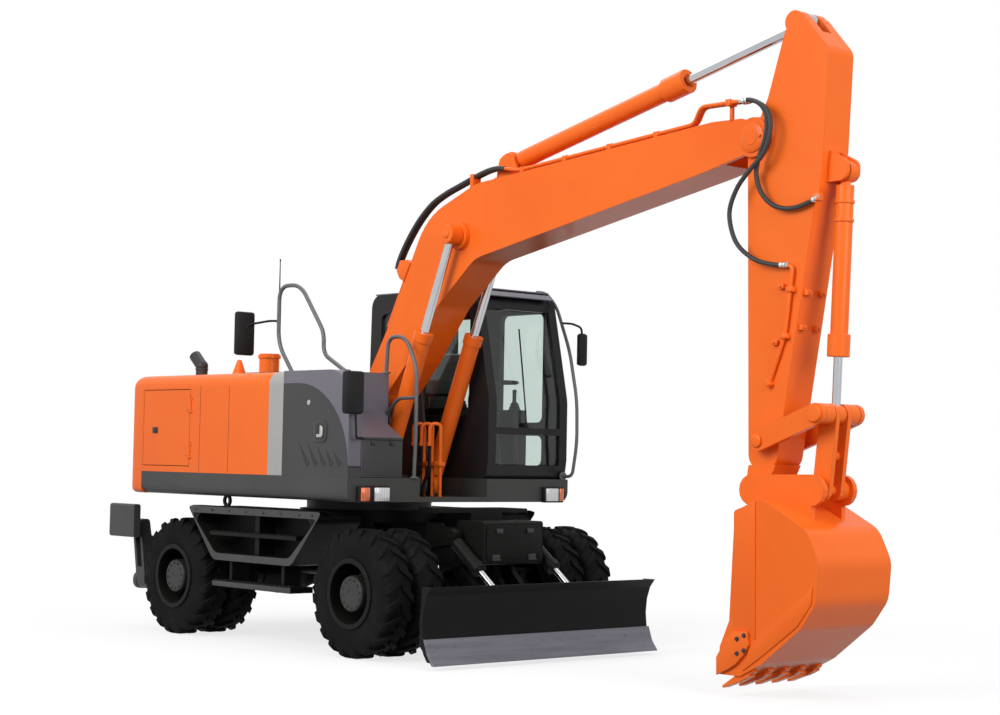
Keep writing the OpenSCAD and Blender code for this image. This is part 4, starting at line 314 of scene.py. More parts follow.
def seat_cloth(name, low, high, thread_mm):
    """Woven polyester seat cloth: crossing threads drawn 12 mm apart so that they show, soft sheen."""
    made, tree = new_material(name)
    thread = {"Vector": (add(tree, "TexCoord"), "Object"), "Scale": per_metre(thread_mm) * WAVE, "Distortion": 0.4}
    warp = add(tree, "TexWave", {"bands_direction": "Y"}, thread)
    weft = add(tree, "TexWave", {"bands_direction": "X"}, thread)
    woven = calc(tree, "MAXIMUM", (warp, 1), (weft, 1))
    tone = ramp(tree, woven, (0.2, colour(low)), (0.9, colour(high)))
    return ended(made, tree, "BsdfPrincipled", {
        "Base Color": (tone, 0), "Roughness": 0.85, "Sheen Weight": 0.4, "Normal": (relief_of(tree, woven, 0.7, 1), 0)})


CLOTH = seat_cloth("woven_seat_cloth", "#26272A", "#3A3B3F", 11.87)

# The finish of each of the part's own nodes
FINISH = {
    ORANGE: "counterweight house_panels engine_hood service_door_right service_door_left boom boom_barrels "
            "arm arm_barrel bucket_barrel idler_links bucket_link bucket",
    BLACK: "chassis_frame step_boxes axles front_locker knuckle_left knuckle_right track_rod "
           "stabiliser_barrel_left stabiliser_barrel_right dozer_blade "
           "blade_barrels rims_front_left rims_front_right rims_rear_left rims_rear_right",
    CAB_BLACK: "cab_shell cab_door",
    SKIRT: "upper_frame stabiliser_beam stabiliser_leg_left stabiliser_leg_right",
    CASTING: "slew_ring engine_block exhaust_stack",
    DARK_GREY: "tank_cover",
    MID_GREY: "tool_box tank_shroud",
    PALE_GREY: "cover_strip",
    RAIL: "handrails",
    WEAR_PLATE: "blade_edge",
    CHROME: "blade_rods stabiliser_rod_left stabiliser_rod_right boom_rods arm_rod bucket_rod",
    RUBBER: "tyres_front_left tyres_front_right tyres_rear_left tyres_rear_right",
    HOSE: "boom_hoses",
    ABS: "mirrors cab_controls lamps",
    CLOTH: "operator_seat",
    GLASS: "cab_glass door_glass",
}
for finish, names in FINISH.items():
    for name in names.split():
        NODES[name].data.materials.clear()
        NODES[name].data.materials.append(finish)


# Forms: each gives (vertices in metres, faces)
def block(x0, x1, y0, y1, z0, z1, edge=4, turn=None):
    """A box with softened edges, in machine millimetres, turned about its middle if asked."""
    b = bmesh.new()
    bmesh.ops.create_cube(b, size=1)
    middle = Vector(((x0 + x1) / 2, (y0 + y1) / 2, (z0 + z1) / 2))
    for v in b.verts:
        v.co = middle + Vector((v.co.x * (x1 - x0), v.co.y * (y1 - y0), v.co.z * (z1 - z0)))
    edge = min(edge, 0.45 * min(x1 - x0, y1 - y0, z1 - z0))
    bmesh.ops.bevel(b, geom=b.edges[:], offset=edge, segments=2, profile=0.5, affect="EDGES")
    form = taken(b)
    if turn:
        form = ([middle + turn @ (v - middle) for v in form[0]], form[1])
    return placed(form)


def taken(b):
    """The vertices and faces of a bmesh, which is freed."""
    b.verts.index_update()
    form = ([v.co.copy() for v in b.verts], [[v.index for v in f.verts] for f in b.faces])
    b.free()
    return form


def placed(form):
    """A form in machine millimetres moved to the part's frame."""
    return [at(*v) for v in form[0]], form[1]


def plate(outline, t, origin=(0, 0, 0), u=X, v=Z, edge=3):
    """A flat outline of (u, v) points given thickness t along u x v, with softened rims."""
    b = bmesh.new()
    w = u.cross(v)
    ring = [b.verts.new(Vector(origin) + u * p[0] + v * p[1]) for p in outline]
    face = b.faces.new(ring)
    top = bmesh.ops.extrude_face_region(b, geom=[face])["geom"]
    bmesh.ops.translate(b, vec=w * t, verts=[g for g in top if isinstance(g, bmesh.types.BMVert)])
    bmesh.ops.recalc_face_normals(b, faces=b.faces[:])
    if edge:
        rims = [e for e in b.edges if len(e.link_faces) == 2 and e.calc_face_angle(0) > 0.6
                and abs((e.verts[0].co - e.verts[1].co).normalized().dot(w)) < 0.5]
        bmesh.ops.bevel(b, geom=rims, offset=min(edge, abs(t) * 0.4), segments=2, profile=0.5, affect="EDGES")
    return placed(taken(b))


def tube_faces(rows, steps, closed=False):
    """Faces between rows of points round a tube, with end caps unless its rows close up."""
    faces = []
    for i in range(rows if closed else rows - 1):
        near, far = i * steps, (i + 1) % rows * steps
        faces += [[near + k, near + (k + 1) % steps, far + (k + 1) % steps, far + k] for k in range(steps)]
    if not closed:
        faces += [list(range(steps))[::-1], [(rows - 1) * steps + k for k in range(steps)]]
    return faces


def lathe(profile, centre, axis, steps=28, closed=False):
    """A profile of (radius, height) points turned about axis through centre."""
    axis = Vector(axis).normalized()
    side = axis.orthogonal().normalized()
    other = axis.cross(side)
    turns = [2 * math.pi * k / steps for k in range(steps)]
    verts = [Vector(centre) + axis * h + (side * math.cos(a) + other * math.sin(a)) * r
             for r, h in profile for a in turns]
    return placed((verts, tube_faces(len(profile), steps, closed)))


def ring(profile, centre, axis, steps):
    """A closed profile of (radius, height) points turned about axis through centre."""
    return lathe(profile, centre, axis, steps, closed=True)


def stud(centre, axis, d, h, sides=24, edge=None):
    """A round or many-sided head with a chamfered rim, standing on centre."""
    c = edge if edge is not None else min(d, h) * 0.18
    return lathe([(d / 2, 0), (d / 2, h - c), (d / 2 - c, h)], centre, axis, sides)


def bolt(centre, axis, d):
    """A hexagon head on a washer."""
    return joined(lathe([(d * 0.95, 0), (d * 0.95, d * 0.12), (d * 0.9, d * 0.16)], centre, axis, 20),
                  lathe([(d * 0.8, d * 0.14), (d * 0.8, d * 0.6), (d * 0.68, d * 0.75)], centre, axis, 6))


def curve_points(points, closeness=8):
    """Points on a smooth line through the given ones."""
    p = [Vector(q) for q in points]
    p = [2 * p[0] - p[1]] + p + [2 * p[-1] - p[-2]]
    line = []
    for i in range(1, len(p) - 2):
        for k in range(closeness):
            t = k / closeness
            line.append(0.5 * (2 * p[i] + (p[i + 1] - p[i - 1]) * t
                               + (2 * p[i - 1] - 5 * p[i] + 4 * p[i + 1] - p[i + 2]) * t * t
                               + (3 * p[i] - p[i - 1] - 3 * p[i + 1] + p[i + 2]) * t ** 3))
    return line + [p[-2]]


def bent(points, r, steps=4):
    """A polyline whose corners are rounded with radius r, as a tube bender leaves them."""
    p = [Vector(q) for q in points]
    line = [p[0]]
    for a, b, c in zip(p, p[1:], p[2:]):
        reach = min(r, (a - b).length * 0.45, (c - b).length * 0.45)
        s, e = b + (a - b).normalized() * reach, b + (c - b).normalized() * reach
        line += [s.lerp(b, t).lerp(b.lerp(e, t), t) for t in [k / steps for k in range(steps + 1)]]
    return line + [p[-1]]


def pipe(line, d, sides=10):
    """A round tube along a line of points, closed at both ends."""
    line = [Vector(p) for p in line]
    verts = []
    side = (line[1] - line[0]).normalized().orthogonal().normalized()
    for i, p in enumerate(line):
        way = (line[min(i + 1, len(line) - 1)] - line[max(i - 1, 0)]).normalized()
        side = (side - way * side.dot(way)).normalized()
        other = way.cross(side)
        for k in range(sides):
            a = 2 * math.pi * k / sides
            verts.append(p + (side * math.cos(a) + other * math.sin(a)) * d / 2)
    return placed((verts, tube_faces(len(line), sides)))


def joined(*forms):
    """Several forms as one."""
    verts, faces = [], []
    for form in forms:
        base = len(verts)
        verts += form[0]
        faces += [[i + base for i in f] for f in form[1]]
    return verts, faces


def mirrored(form):
    """The form and its copy on the machine's other side."""
    other = [Vector((v.x, -v.y, v.z)) for v in form[0]]
    return joined(form, (other, [f[::-1] for f in form[1]]))


def piece(name, body, finish, *forms, smooth=35):
    """One object from its forms, in its finish, riding on a body where one is named."""
    verts, faces = joined(*forms)
    mesh = bpy.data.meshes.new(name)
    mesh.from_pydata(verts, [], faces)
    mesh.polygons.foreach_set("use_smooth", [True] * len(mesh.polygons))
    mesh.set_sharp_from_angle(angle=math.radians(smooth))
    mesh.materials.append(finish)
    made = bpy.data.objects.new(name, mesh)
    bpy.context.scene.collection.objects.link(made)
    if body:
        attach(made, body)
    return made


# Middle plane of the boom, arm and bucket, and the words for its two sides
BOOM_Y = -100
SIDES = (("right", -1), ("left", 1))

# Free hoses from the boom's pipes to the arm
HOSE_MM = 34
TIP_HOSES = {
    "tip_hose_outer": [(4634, -306, 4258), (4720, -310, 4256), (4815, -328, 4222), (4905, -345, 4165),
                       (4952, -352, 4068), (4940, -352, 3955), (4878, -352, 3833), (4762, -352, 3735),
                       (4640, -350, 3610), (4570, -345, 3437), (4628, -338, 3232), (4772, -318, 3104),
                       (4925, -290, 3054), (5050, -270, 3043)],
    "tip_hose_inner": [(4634, -264, 4258), (4715, -272, 4256), (4800, -294, 4220), (4868, -312, 4150),
                       (4890, -318, 4055), (4872, -318, 3945), (4822, -318, 3835), (4795, -316, 3715),
                       (4828, -310, 3590), (4912, -300, 3492), (5028, -288, 3446), (5165, -278, 3450),
                       (5330, -270, 3505)],
}
NUT = [(20, -14), (20, 8), (17, 10)]
FERRULE = [(19, 10), (22, 14), (22, 30), (19.5, 34), (22, 38), (22, 56), (18, 62)]
for name, points in TIP_HOSES.items():
    line = curve_points(points, 6)
    hose = piece(name, None, HOSE, pipe(line, HOSE_MM, 14))
    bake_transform(hose)
    for tip, inner, body in ((line[0], line[1], "boom"), (line[-1], line[-2], "arm")):
        way = (inner - tip).normalized()
        piece(f"{name}_fitting_{body}", body, ZINC, lathe(NUT, tip, way, 6), lathe(FERRULE, tip, way, 20))

# Hoses round the boom's knee, from the valve block on its back to the pipes on its top
KNEE_MM = 38
KNEE_YS = (-255, -215, 15, 55)
KNEE_LINE = [(640, 3275), (668, 3350), (735, 3455), (835, 3580), (960, 3705), (1110, 3812), (1280, 3882),
             (1460, 3934), (1640, 3985), (1800, 4024), (1930, 4036), (2026, 4024)]
for k, y in enumerate(KNEE_YS):
    line = curve_points([(x, y, z) for x, z in KNEE_LINE], 3)
    hose = piece(f"knee_hose_{k}", "boom", HOSE, pipe(line, KNEE_MM, 14))
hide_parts("boom_hoses")
BACK_FOOT, BACK_TOP = Vector((558, 0, 2751)), Vector((1064, 0, 3691))
up_back = (BACK_TOP - BACK_FOOT).normalized()
off_back = Vector((-up_back.z, 0, up_back.x))
saddle = [(460, -4), (640, -4), (640, 60), (600, 130), (500, 130), (460, 60)]
valves = [plate(saddle, 120, BACK_FOOT + Y * y, up_back, off_back, 6) for y in (-175, 95)]
for y in KNEE_YS:
    spot = BACK_FOOT + Y * y
    valves.append(pipe([spot + up_back * s + off_back * 26 for s in (10, 455)], 28, 12))
    valves.append(lathe([(24, 0), (24, 34), (20, 40)], spot + up_back * 520 + off_back * 125, (0.45, 0, 0.9), 6))
valves += [bolt(BACK_FOOT + Y * y + up_back * s + off_back * 130, off_back, 16)
           for y in (-275, -195, -5, 75) for s in (520, 580)]
piece("boom_valve_blocks", "boom", ORANGE, *valves)
CLAMP_X, CLAMP_Z = KNEE_LINE[8]
piece("knee_clamps", "boom", ORANGE,
      *[block(CLAMP_X - 20, CLAMP_X + 20, y - 46, y + 46, CLAMP_Z - 100, CLAMP_Z + 28, 5) for y in (-235, 35)])

# Wheels
LUGS = 20


def tyre_form(x, y, z):
    """A traction tyre: round carcass, bead lines and two rows of swept lugs over the shoulders."""
    half = [(262.6, 121), (268, 128), (292, 128), (300, 131), (345, 136.5), (405, 137.4), (452, 133),
            (480, 122), (494, 104), (498, 70), (499, 30)]
    carcass = ring(half + [(r, -h) for r, h in half[::-1]], (x, y, z), Y, 72)
    # How far across, outer and inner radius, and half the spread in degrees, along one lug
    stations = [(5, 524.6, 488, 2.4), (45, 524.6, 488, 2.7), (88, 523, 486, 3.1), (116, 518, 480, 3.4),
                (130, 500, 462, 3.5), (137, 458, 436, 3.2)]
    lugs = []
    for row in (-1, 1):
        for k in range(LUGS):
            verts, faces = [], []
            for i, (across, top, base, spread) in enumerate(stations):
                mid = math.radians((k + 0.25 * (row + 1)) * 360 / LUGS - 11.5 * min(1, across / 130))
                for r, share in ((base, -1.15), (top, -1), (top, 1), (base, 1.15)):
                    a = mid + math.radians(spread * share)
                    verts.append(Vector((x + r * math.cos(a), y + row * across, z + r * math.sin(a))))
                if i:
                    p, q = 4 * (i - 1), 4 * i
                    faces += [[p + j, p + (j + 1) % 4, q + (j + 1) % 4, q + j] for j in range(4)]
            faces += [[3, 2, 1, 0], [len(verts) - 4 + j for j in range(4)]]
            lugs.append(placed((verts, [f[::-1] for f in faces] if row < 0 else faces)))
    return joined(carcass, *lugs)


LOCK_RING = [(262.5, 0), (282, 1), (287, 6), (286, 12), (276, 14), (262.5, 10)]
HUB_COVER = [(165, 0), (165, 60), (158, 66), (152, 72), (148, 170), (144, 184), (136, 191), (40, 194), (36, 190),
             (12, 190)]
AXLE_Z, TWIN_MID, TYRE_OUT = 525, 952.5, 160
DISC_FACE, HUB_FACE = 972.5, 1042.5
for end, axle_x in (("front", 1350), ("rear", -1250)):
    for side, s in (("left", 1), ("right", -1)):
        body = f"wheel_{end}_{side}"
        twin = piece(f"twin_tyres_{end}_{side}", body, RUBBER,
                     *[tyre_form(axle_x, s * TWIN_MID + d, AXLE_Z) for d in (-TYRE_OUT, TYRE_OUT)], smooth=28)
        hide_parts(f"tyres_{end}_{side}")
        out = Y * s
        rim = s * (TWIN_MID + TYRE_OUT)
        piece(f"rim_bead_{end}_{side}", body, BLACK, ring(LOCK_RING, (axle_x, rim + s * 128, AXLE_Z), out, 56))
        piece(f"hub_cover_{end}_{side}", body, CASTING, lathe(HUB_COVER, (axle_x, s * HUB_FACE, AXLE_Z), out, 44))
        nuts = []
        for count, first, r, face, d in ((12, 8, 116, HUB_FACE + 191, 13), (10, 0, 206, DISC_FACE, 24)):
            for a in [math.radians(first + 360 / count * k) for k in range(count)]:
                nuts.append(bolt((axle_x + r * math.cos(a), s * face, AXLE_Z + r * math.sin(a)), out, d))
        piece(f"wheel_nuts_{end}_{side}", body, CASTING, *nuts)
        valve = [(axle_x + 232, s * DISC_FACE, AXLE_Z + 40), (axle_x + 236, s * (DISC_FACE + 60), AXLE_Z + 42),
                 (axle_x + 222, s * (DISC_FACE + 110), AXLE_Z + 40)]
        piece(f"tyre_valve_{end}_{side}", body, ZINC, pipe(bent(valve, 25), 9, 8))


# Chassis: steps, tie-down rings, locker and blade
def saw_edge(x0, x1, y0, y1, pitch, depth):
    """The outline of a tread with a saw-toothed outer edge."""
    count = round((x1 - x0) / pitch)
    step = (x1 - x0) / count
    outer = [(x0 + (k + f) * step, y1 + g * depth)
             for k in range(count) for f, g in ((0, 0), (0.3, 1), (0.7, 1), (1, 0))]
    return [(x0, y0), (x1, y0)] + outer[::-1]


# Inner and outer line of the treads, and the pitch and depth of their teeth
TREAD = (1100, 1196, 38, 12)
treads = []
for x0, x1, z in ((-725, 545, 947.5), (-660, 480, 520)):
    treads.append(plate(saw_edge(x0, x1, *TREAD), 6, (0, 0, z), X, Y, 1.5))
    treads += [stud((x0 + 70 + k * (x1 - x0 - 140) / 16, y, z + 6), Z, 16, 4, 10)
               for k in range(17) for y in (1125, 1165)]
treads.append(plate(saw_edge(-1040, 860, *TREAD), 6, (0, 0, 1165), X, Y, 1.5))
piece("step_treads", "chassis", BLACK, mirrored(joined(*treads)))
# Grey face of the step frame, in two halves, and the low step's edge
STEP_X = -90
frame_halves = [block(-675, 495, 1208, 1213, 474, 516, 1.5)]
for s in (-1, 1):
    rims = []
    for half_top, top, half_low, low in ((1000, 1165, 585, 700), (940, 1105, 555, 760)):
        corners = [(STEP_X + s * x, 0, z) for x, z in ((0, top), (half_top, top), (half_low, low), (0, low))]
        rims.append([(p.x, p.z) for p in bent(corners, 60)])
    frame_halves.append(plate(rims[0] + rims[1][::-1], 5, (0, 1214, 0), edge=0))
piece("step_frames", "chassis", SKIRT, mirrored(joined(*frame_halves)))
rivets = [bolt((x, 1212, 1135), Y, 14) for x in (-960, -700, -440, -180, 80, 340, 600, 780)]
piece("step_bolts", "chassis", CASTING, mirrored(joined(*rivets)))

eyes = joined(block(-600, -520, 1138, 1162, 1160, 1180, 4),
              ring([(54, -12), (54, 12), (32, 12), (32, -12)], (-560, 1150, 1222), Y, 32))
piece("tie_down_rings", "chassis", BLACK, mirrored(eyes))

LOCKER_X = 1940
door = [(-290, 800), (290, 800), (300, 812), (300, 1070), (285, 1086), (-285, 1086), (-300, 1070), (-300, 812)]
piece("locker_door", "chassis", BLACK, plate(door, 10, (LOCKER_X, 0, 0), Y, Z, 4))
piece("locker_fittings", "chassis", CASTING,
      *[joined(block(LOCKER_X + 8, LOCKER_X + 26, y - 34, y + 34, 1020, 1062, 6),
               block(LOCKER_X + 20, LOCKER_X + 36, y - 22, y + 22, 1030, 1044, 5)) for y in (-170, 170)],
      *[joined(lathe([(9, -45), (9, 45)], (LOCKER_X + 14, y, 806), Y, 14),
               block(LOCKER_X + 6, LOCKER_X + 14, y - 40, y + 40, 806, 850, 2)) for y in (-200, 200)])

# Two rows of flush bolts in the blade's edge: place and facing of each row
EDGE_ROWS = ((2387, 77, 0.786, 0.618), (2333, 176, 0.938, 0.346))
edge_bolts = [stud((x, y, z), (nx, 0, nz), 34, 2, 20, 1)
              for x, z, nx, nz in EDGE_ROWS for y in range(-1140, 1141, 190)]
piece("blade_edge_bolts", "blade", WEAR_PLATE, *edge_bolts)


# Machine house
def side_line(points, w, y, t=1.2):
    """A narrow dark joint line drawn on a side panel."""
    line = [Vector(p) for p in points]
    left, right = [], []
    for i, p in enumerate(line):
        way = (line[min(i + 1, len(line) - 1)] - line[max(i - 1, 0)]).normalized()
        across = Vector((-way.y, way.x))
        left.append(p + across * w / 2)
        right.append(p - across * w / 2)
    return plate([tuple(p) for p in left + right[::-1]], t, (0, y, 0), edge=0)


RIGHT = -1240
piece("house_joint_lines", "upper", SEAL,
      *[side_line([(x, 1475), (x, 2235)], 4, RIGHT + 0.2) for x in (-893, -440)])
piece("door_latch_right", "door_right", CASTING, block(-1668, -1588, RIGHT - 10, RIGHT - 0.5, 1812, 1868, 9),
      block(-1650, -1606, RIGHT - 18, RIGHT - 6, 1826, 1854, 6))
piece("door_latch_left", "door_left", CASTING,
      block(-1700, -1640, 1240.5, 1250, 1660, 1716, 9), block(-1690, -1650, 1248, 1258, 1674, 1702, 6))

# The side cover's vent grooves, each a tapering slot with a rounded foot and a pale lip; each slot is a flat black
# sheet on the panel, painted shade where the groove is dark
GROOVES = (((596, 1756), (720, 1580)), ((722, 1748), (833, 1581)), ((859, 1722), (945, 1583)),
           ((979, 1696), (1049, 1584)), ((1086, 1672), (1151, 1586)))
GROOVE_R = 24
slot_shades, lips = [], []
for head, foot in GROOVES:
    a, b = Vector(head), Vector(foot)
    way = (b - a).normalized()
    across = Vector((-way.y, way.x))
    turn = math.atan2(across.y, across.x)
    swing = [turn - math.pi * k / 10 for k in range(11)]
    end = [(b.x + GROOVE_R * math.cos(u), b.y + GROOVE_R * math.sin(u)) for u in swing]
    slot_shades.append(plate([(a.x, a.y)] + end, 1.4, (0, RIGHT + 0.2, 0), edge=0))
    swing = [turn - math.pi * k / 12 for k in range(1, 11)]
    lip = [(b.x + r * math.cos(u), b.y + r * math.sin(u))
           for r, us in ((GROOVE_R + 9, swing), (GROOVE_R - 2, swing[::-1])) for u in us]
    lips.append(plate(lip, 6, (0, RIGHT + 0.5, 0), edge=2))
# Flat black sheets on the panel: painted shade in the grooves
piece("cover_vent_slot_shades", "upper", SEAL, *slot_shades)
piece("cover_vent_lips", "upper", DARK_GREY, *lips)
latch_shell = [(824, 1746), (960, 1746), (996, 1780), (996, 1890), (960, 1925), (824, 1925), (812, 1910), (812, 1762)]
latch_well = [(850, 1772), (945, 1772), (968, 1794), (968, 1876), (945, 1899), (850, 1899)]
piece("cover_latch", "upper", DARK_GREY, plate(latch_shell, 9, (0, RIGHT + 0.5, 0), edge=4))
piece("cover_latch_well", "upper", SEAL, plate(latch_well, 3, (0, RIGHT - 8, 0), edge=1))
latch_handle = [(868, 1786), (930, 1786), (950, 1806), (950, 1866), (930, 1884), (912, 1884), (912, 1812),
                (868, 1812)]
piece("cover_latch_handle", "upper", ZINC, plate(latch_handle, 5, (0, RIGHT - 11, 0), edge=2))
piece("cover_lock", "upper", ZINC, stud((739, RIGHT - 0.5, 2075), -Y, 44, 6, 24),
      stud((739, RIGHT - 6, 2075), -Y, 22, 3, 16))

# Roof of the house
TOP = 2345
mat = [plate([(-480, -1110), (100, -1110), (100, -560), (-480, -560)], 5, (0, 0, TOP), X, Y, 2)]
# Studs all over it but round the precleaner
PITCH, CLEANER_X, CLEANER_Y, CLEARANCE = 45, -510, -780, 130
spots = [(-450 + PITCH * i, -1080 + PITCH * j) for i in range(12) for j in range(11)]
mat += [stud((x, y, TOP + 5), Z, 16, 4, 8) for x, y in spots
        if abs(x - CLEANER_X) > CLEARANCE or abs(y - CLEANER_Y) > CLEARANCE]
piece("anti_slip_mat", "upper", ABS, *mat)
piece("exhaust_lip", "upper", CASTING,
      ring([(55.5, 0), (60, 2), (60, 16), (55.5, 18)], (-1480, -850, TOP + 60), Z, 32))
RAIL_Y = -1000
antenna = [(16, 0), (16, 60), (8, 90), (6, 300), (4, 520), (6, 526), (6, 540), (3, 546)]
piece("rail_antenna", "upper", ABS, lathe(antenna, (-60, RAIL_Y, 2800), Z, 14))
LAMP_X = 1330
LAMP_Z = (1268, 1382)
piece("deck_lamp_housings", "upper", ABS, block(LAMP_X - 50, LAMP_X + 1, -1150, -828, 1256, 1394, 10),
      block(LAMP_X - 50, LAMP_X + 1, 918, 1152, 1256, 1394, 10))
piece("deck_lamp_amber", "upper", AMBER_LENS,
      *[block(LAMP_X - 4, LAMP_X + 14, y0, y1, *LAMP_Z, 10) for y0, y1 in ((-1136, -1046), (1086, 1142))])
piece("deck_lamp_clear", "upper", CLEAR_LENS,
      *[block(LAMP_X - 4, LAMP_X + 12, y0, y1, *LAMP_Z, 12) for y0, y1 in ((-996, -840), (930, 1078))])

# Smooth bent rails stand for the straight runs of the solids
rail = [(160, TOP), (-60, 2603), (-60, 3105), (248, 3105), (600, 2679), (600, 2497), (908, TOP)]
grab = [(880, 3128), (886, 3160), (1010, 3146), (1153, 3018), (1336, 2606), (1438, 2167), (1447, 1786), (1392, 1489),
        (1262, 1489)]
GRAB_Y, FRONT_RAIL_Y = 1189, -540
rails = piece("bent_rails", "upper", RAIL, pipe(bent([(x, RAIL_Y, z) for x, z in rail], 130, 8), 36, 14),
              pipe(bent([(x, GRAB_Y, z) for x, z in grab], 120, 8), 30, 14), stud((160, RAIL_Y, TOP), Z, 90, 12),
              stud((908, RAIL_Y, TOP), Z, 90, 12), stud((880, GRAB_Y, 3128), Z, 80, 12),
              stud((1270, GRAB_Y, 1489), X, 80, 12))
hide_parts("handrails")
front_rail = [(1279, 1460), (1291, 1800), (1292, 2110), (1287, 2401), (1130, 2652), (900, 2657), (880, TOP)]
cross_rail = [(1290, 2134), (1052, 2130), (899, 2000)]
piece("front_rail", "upper", RAIL, pipe(bent([(x, FRONT_RAIL_Y, z) for x, z in front_rail], 110, 8), 34, 14),
      pipe(bent([(x, FRONT_RAIL_Y, z) for x, z in cross_rail], 60, 6), 30, 12),
      stud((1279, FRONT_RAIL_Y, 1460), Z, 80, 12), stud((880, FRONT_RAIL_Y, TOP), Z, 80, 12))

# Mirrors: rounded shells on thin stalks, their glass on the side that faces back
SHELLS = ((-235, -180, -1356, -1160, 2492, 2872), (1325, 1385, -1356, -1156, 1976, 2326),
          (1385, 1440, 1216, 1318, 2478, 2768))
STALKS = (((-60, -1000, 2801), (-110, -1060, 2801), (-180, -1240, 2760), (-200, -1258, 2700)),
          ((1288, -1090, 1783), (1350, -1205, 1783), (1355, -1215, 1800), (1355, -1228, 2000)),
          ((1223, 1189, 2865), (1330, 1225, 2856), (1405, 1262, 2820), (1412, 1266, 2740)))
mirrors = piece("mirror_shells", "upper", ABS, *[block(*box, 24) for box in SHELLS],
                *[pipe(bent(p, 30, 5), 20, 12) for p in STALKS])
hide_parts("mirrors")
piece("mirror_panes", "upper", MIRROR, *[block(x0 - 2, x0 + 8, y0 + 14, y1 - 14, z0 + 14, z1 - 14, 3)
                                        for x0, x1, y0, y1, z0, z1 in SHELLS])

# Tool box: dark front sheet under a lid edge
piece("tool_box_front", "upper", DARK_GREY, block(1285, 1291, -1098, -680, 1478, 1770, 2),
      block(1281, 1300, -1104, -674, 1772, 1794, 6))
piece("tool_box_latches", "upper", CASTING, *[block(1290, 1304, y - 22, y + 22, 1730, 1766, 5) for y in (-990, -790)])

# Counterweight with rolled edges, nowhere further inside the solid's faces than their radius
CW_FRONT, CW_DEEP, CW_FOOT, TAIL_R, HALF_W = -1850, 530, 1260, 2380, 1240
CW_TOP_R, CW_FOOT_R, CW_SIDE_R = 110, 50, 90
levels = [(CW_FOOT_R * (1 - math.sin(a)), CW_FOOT + CW_FOOT_R * (1 - math.cos(a)))
          for a in [math.pi / 8 * k for k in range(5)]]
levels += [(0, CW_FOOT + (TOP - CW_FOOT) * t) for t in (0.12, 0.2, 0.28, 0.6, 0.8)]
levels += [(CW_TOP_R * (1 - math.cos(a)), TOP - CW_TOP_R * (1 - math.sin(a)))
           for a in [math.pi / 12 * k for k in range(7)]]
rear_line = ((0, 0.82), (0.2, 1), (0.9, 0.9), (1, 0.72))
cw_verts = []
for inset, z in levels:
    share = (z - CW_FOOT) / (TOP - CW_FOOT)
    (t0, s0), (t1, s1) = [(p, q) for p, q in zip(rear_line, rear_line[1:]) if share <= q[0]][0]
    rear = CW_FRONT - CW_DEEP * (s0 + (s1 - s0) * (share - t0) / (t1 - t0)) + inset
    half, r = HALF_W - inset, TAIL_R - inset
    turn = math.asin(half / r)
    arc = [(max(-r * math.cos(turn * k / 12), rear), r * math.sin(turn * k / 12), z) for k in range(-12, 13)]
    cw_verts += bent([(CW_FRONT, -half, z)] + arc + [(CW_FRONT, half, z)], CW_SIDE_R, 3)
cw_faces = [f[::-1] for f in tube_faces(len(levels), len(cw_verts) // len(levels))]
rolled = piece("rolled_counterweight", "upper", ORANGE, placed((cw_verts, cw_faces)))
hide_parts("counterweight")

# Bent steel pipes that rise to the boom's hoses between its cylinders
risers, lower = [], []
for k in range(3):
    x = 830 + 110 * k
    loop = [(x, -60, 1300), (x, -60, 1926), (x - 40, -150, 1926), (x - 40, -150, 1760)]
    risers.append(pipe(bent(loop, 46, 6), 32, 12))
    risers.append(lathe([(22, 0), (22, 26), (18, 30)], (x - 40, -150, 1735), Z, 6))
    drop = [(x - 40, -150, 1740), (x - 40, -150, 1520), (x - 100, -165, 1400), (x - 100, -165, 1296)]
    lower.append(pipe(bent(drop, 50, 5), 28, 12))
piece("riser_pipes", "upper", ORANGE, *risers, block(800, 1080, -95, -25, 1560, 1600, 6))
piece("riser_lower_pipes", "upper", BLACK, *lower)
piece("riser_post", "upper", BLACK, block(905, 945, -80, -40, 1300, 1565, 4))


# Boom: steel pipes with clamps, and the caps of its pins
def boom_top(x):
    """Height of the boom's top plate."""
    return 3926 + (x - 1695) * 0.0818


PIPE_LIFT = 26
# The right pipes step outward at the tip, clear of the arm's swing
TIP_Y = (-306, -264)
for k, y in enumerate(KNEE_YS):
    run = [(2030, y, boom_top(2030) + 70)] + [(x, y, boom_top(x) + PIPE_LIFT) for x in (2200, 2980, 3880)]
    if k < 2:
        run += [(4130, y, boom_top(4130) + PIPE_LIFT), (4244, TIP_Y[k], 4262), (4640, TIP_Y[k], 4258)]
        piece(f"boom_pipe_right_{k}", "boom", ORANGE, pipe(bent(run, 50, 5), 30, 12))
    else:
        run.append((4120, y, boom_top(4120) + PIPE_LIFT))
        piece(f"boom_pipe_left_{k - 2}", "boom", ORANGE, pipe(bent(run, 70, 5), 30, 12))
clamps = []
for x in (2250, 2750, 3250, 3750):
    for y in (-235, 35):
        clamps.append(block(x - 22, x + 22, y - 44, y + 44, boom_top(x) - 2, boom_top(x) + 44, 5))
        clamps.append(bolt((x, y, boom_top(x) + 44), Z, 12))
clamps += [block(4500, 4544, -330, -242, 4234, 4284, 6), block(4508, 4536, -288, -262, 4128, 4240, 4)]
piece("boom_pipe_clamps", "boom", ORANGE, *clamps)

# Pins of the boom's rods, the arm, the idler links and the bucket's link: x and z
ROD_PIN, ARM_PIN, IDLER_PIN = (1521.139, 3500.597), (4722.133, 3988.175), (4842.886, 1797.466)
LINK_PIN, EAR_PIN = (5363.822, 1989.265), (5303.164, 1458.364)


def cap(profile, pin, s, out, steps):
    """A form turned about a pin, standing out mm from the boom's middle plane on side s."""
    return lathe(profile, (pin[0], BOOM_Y + s * out, pin[1]), Y * s, steps)


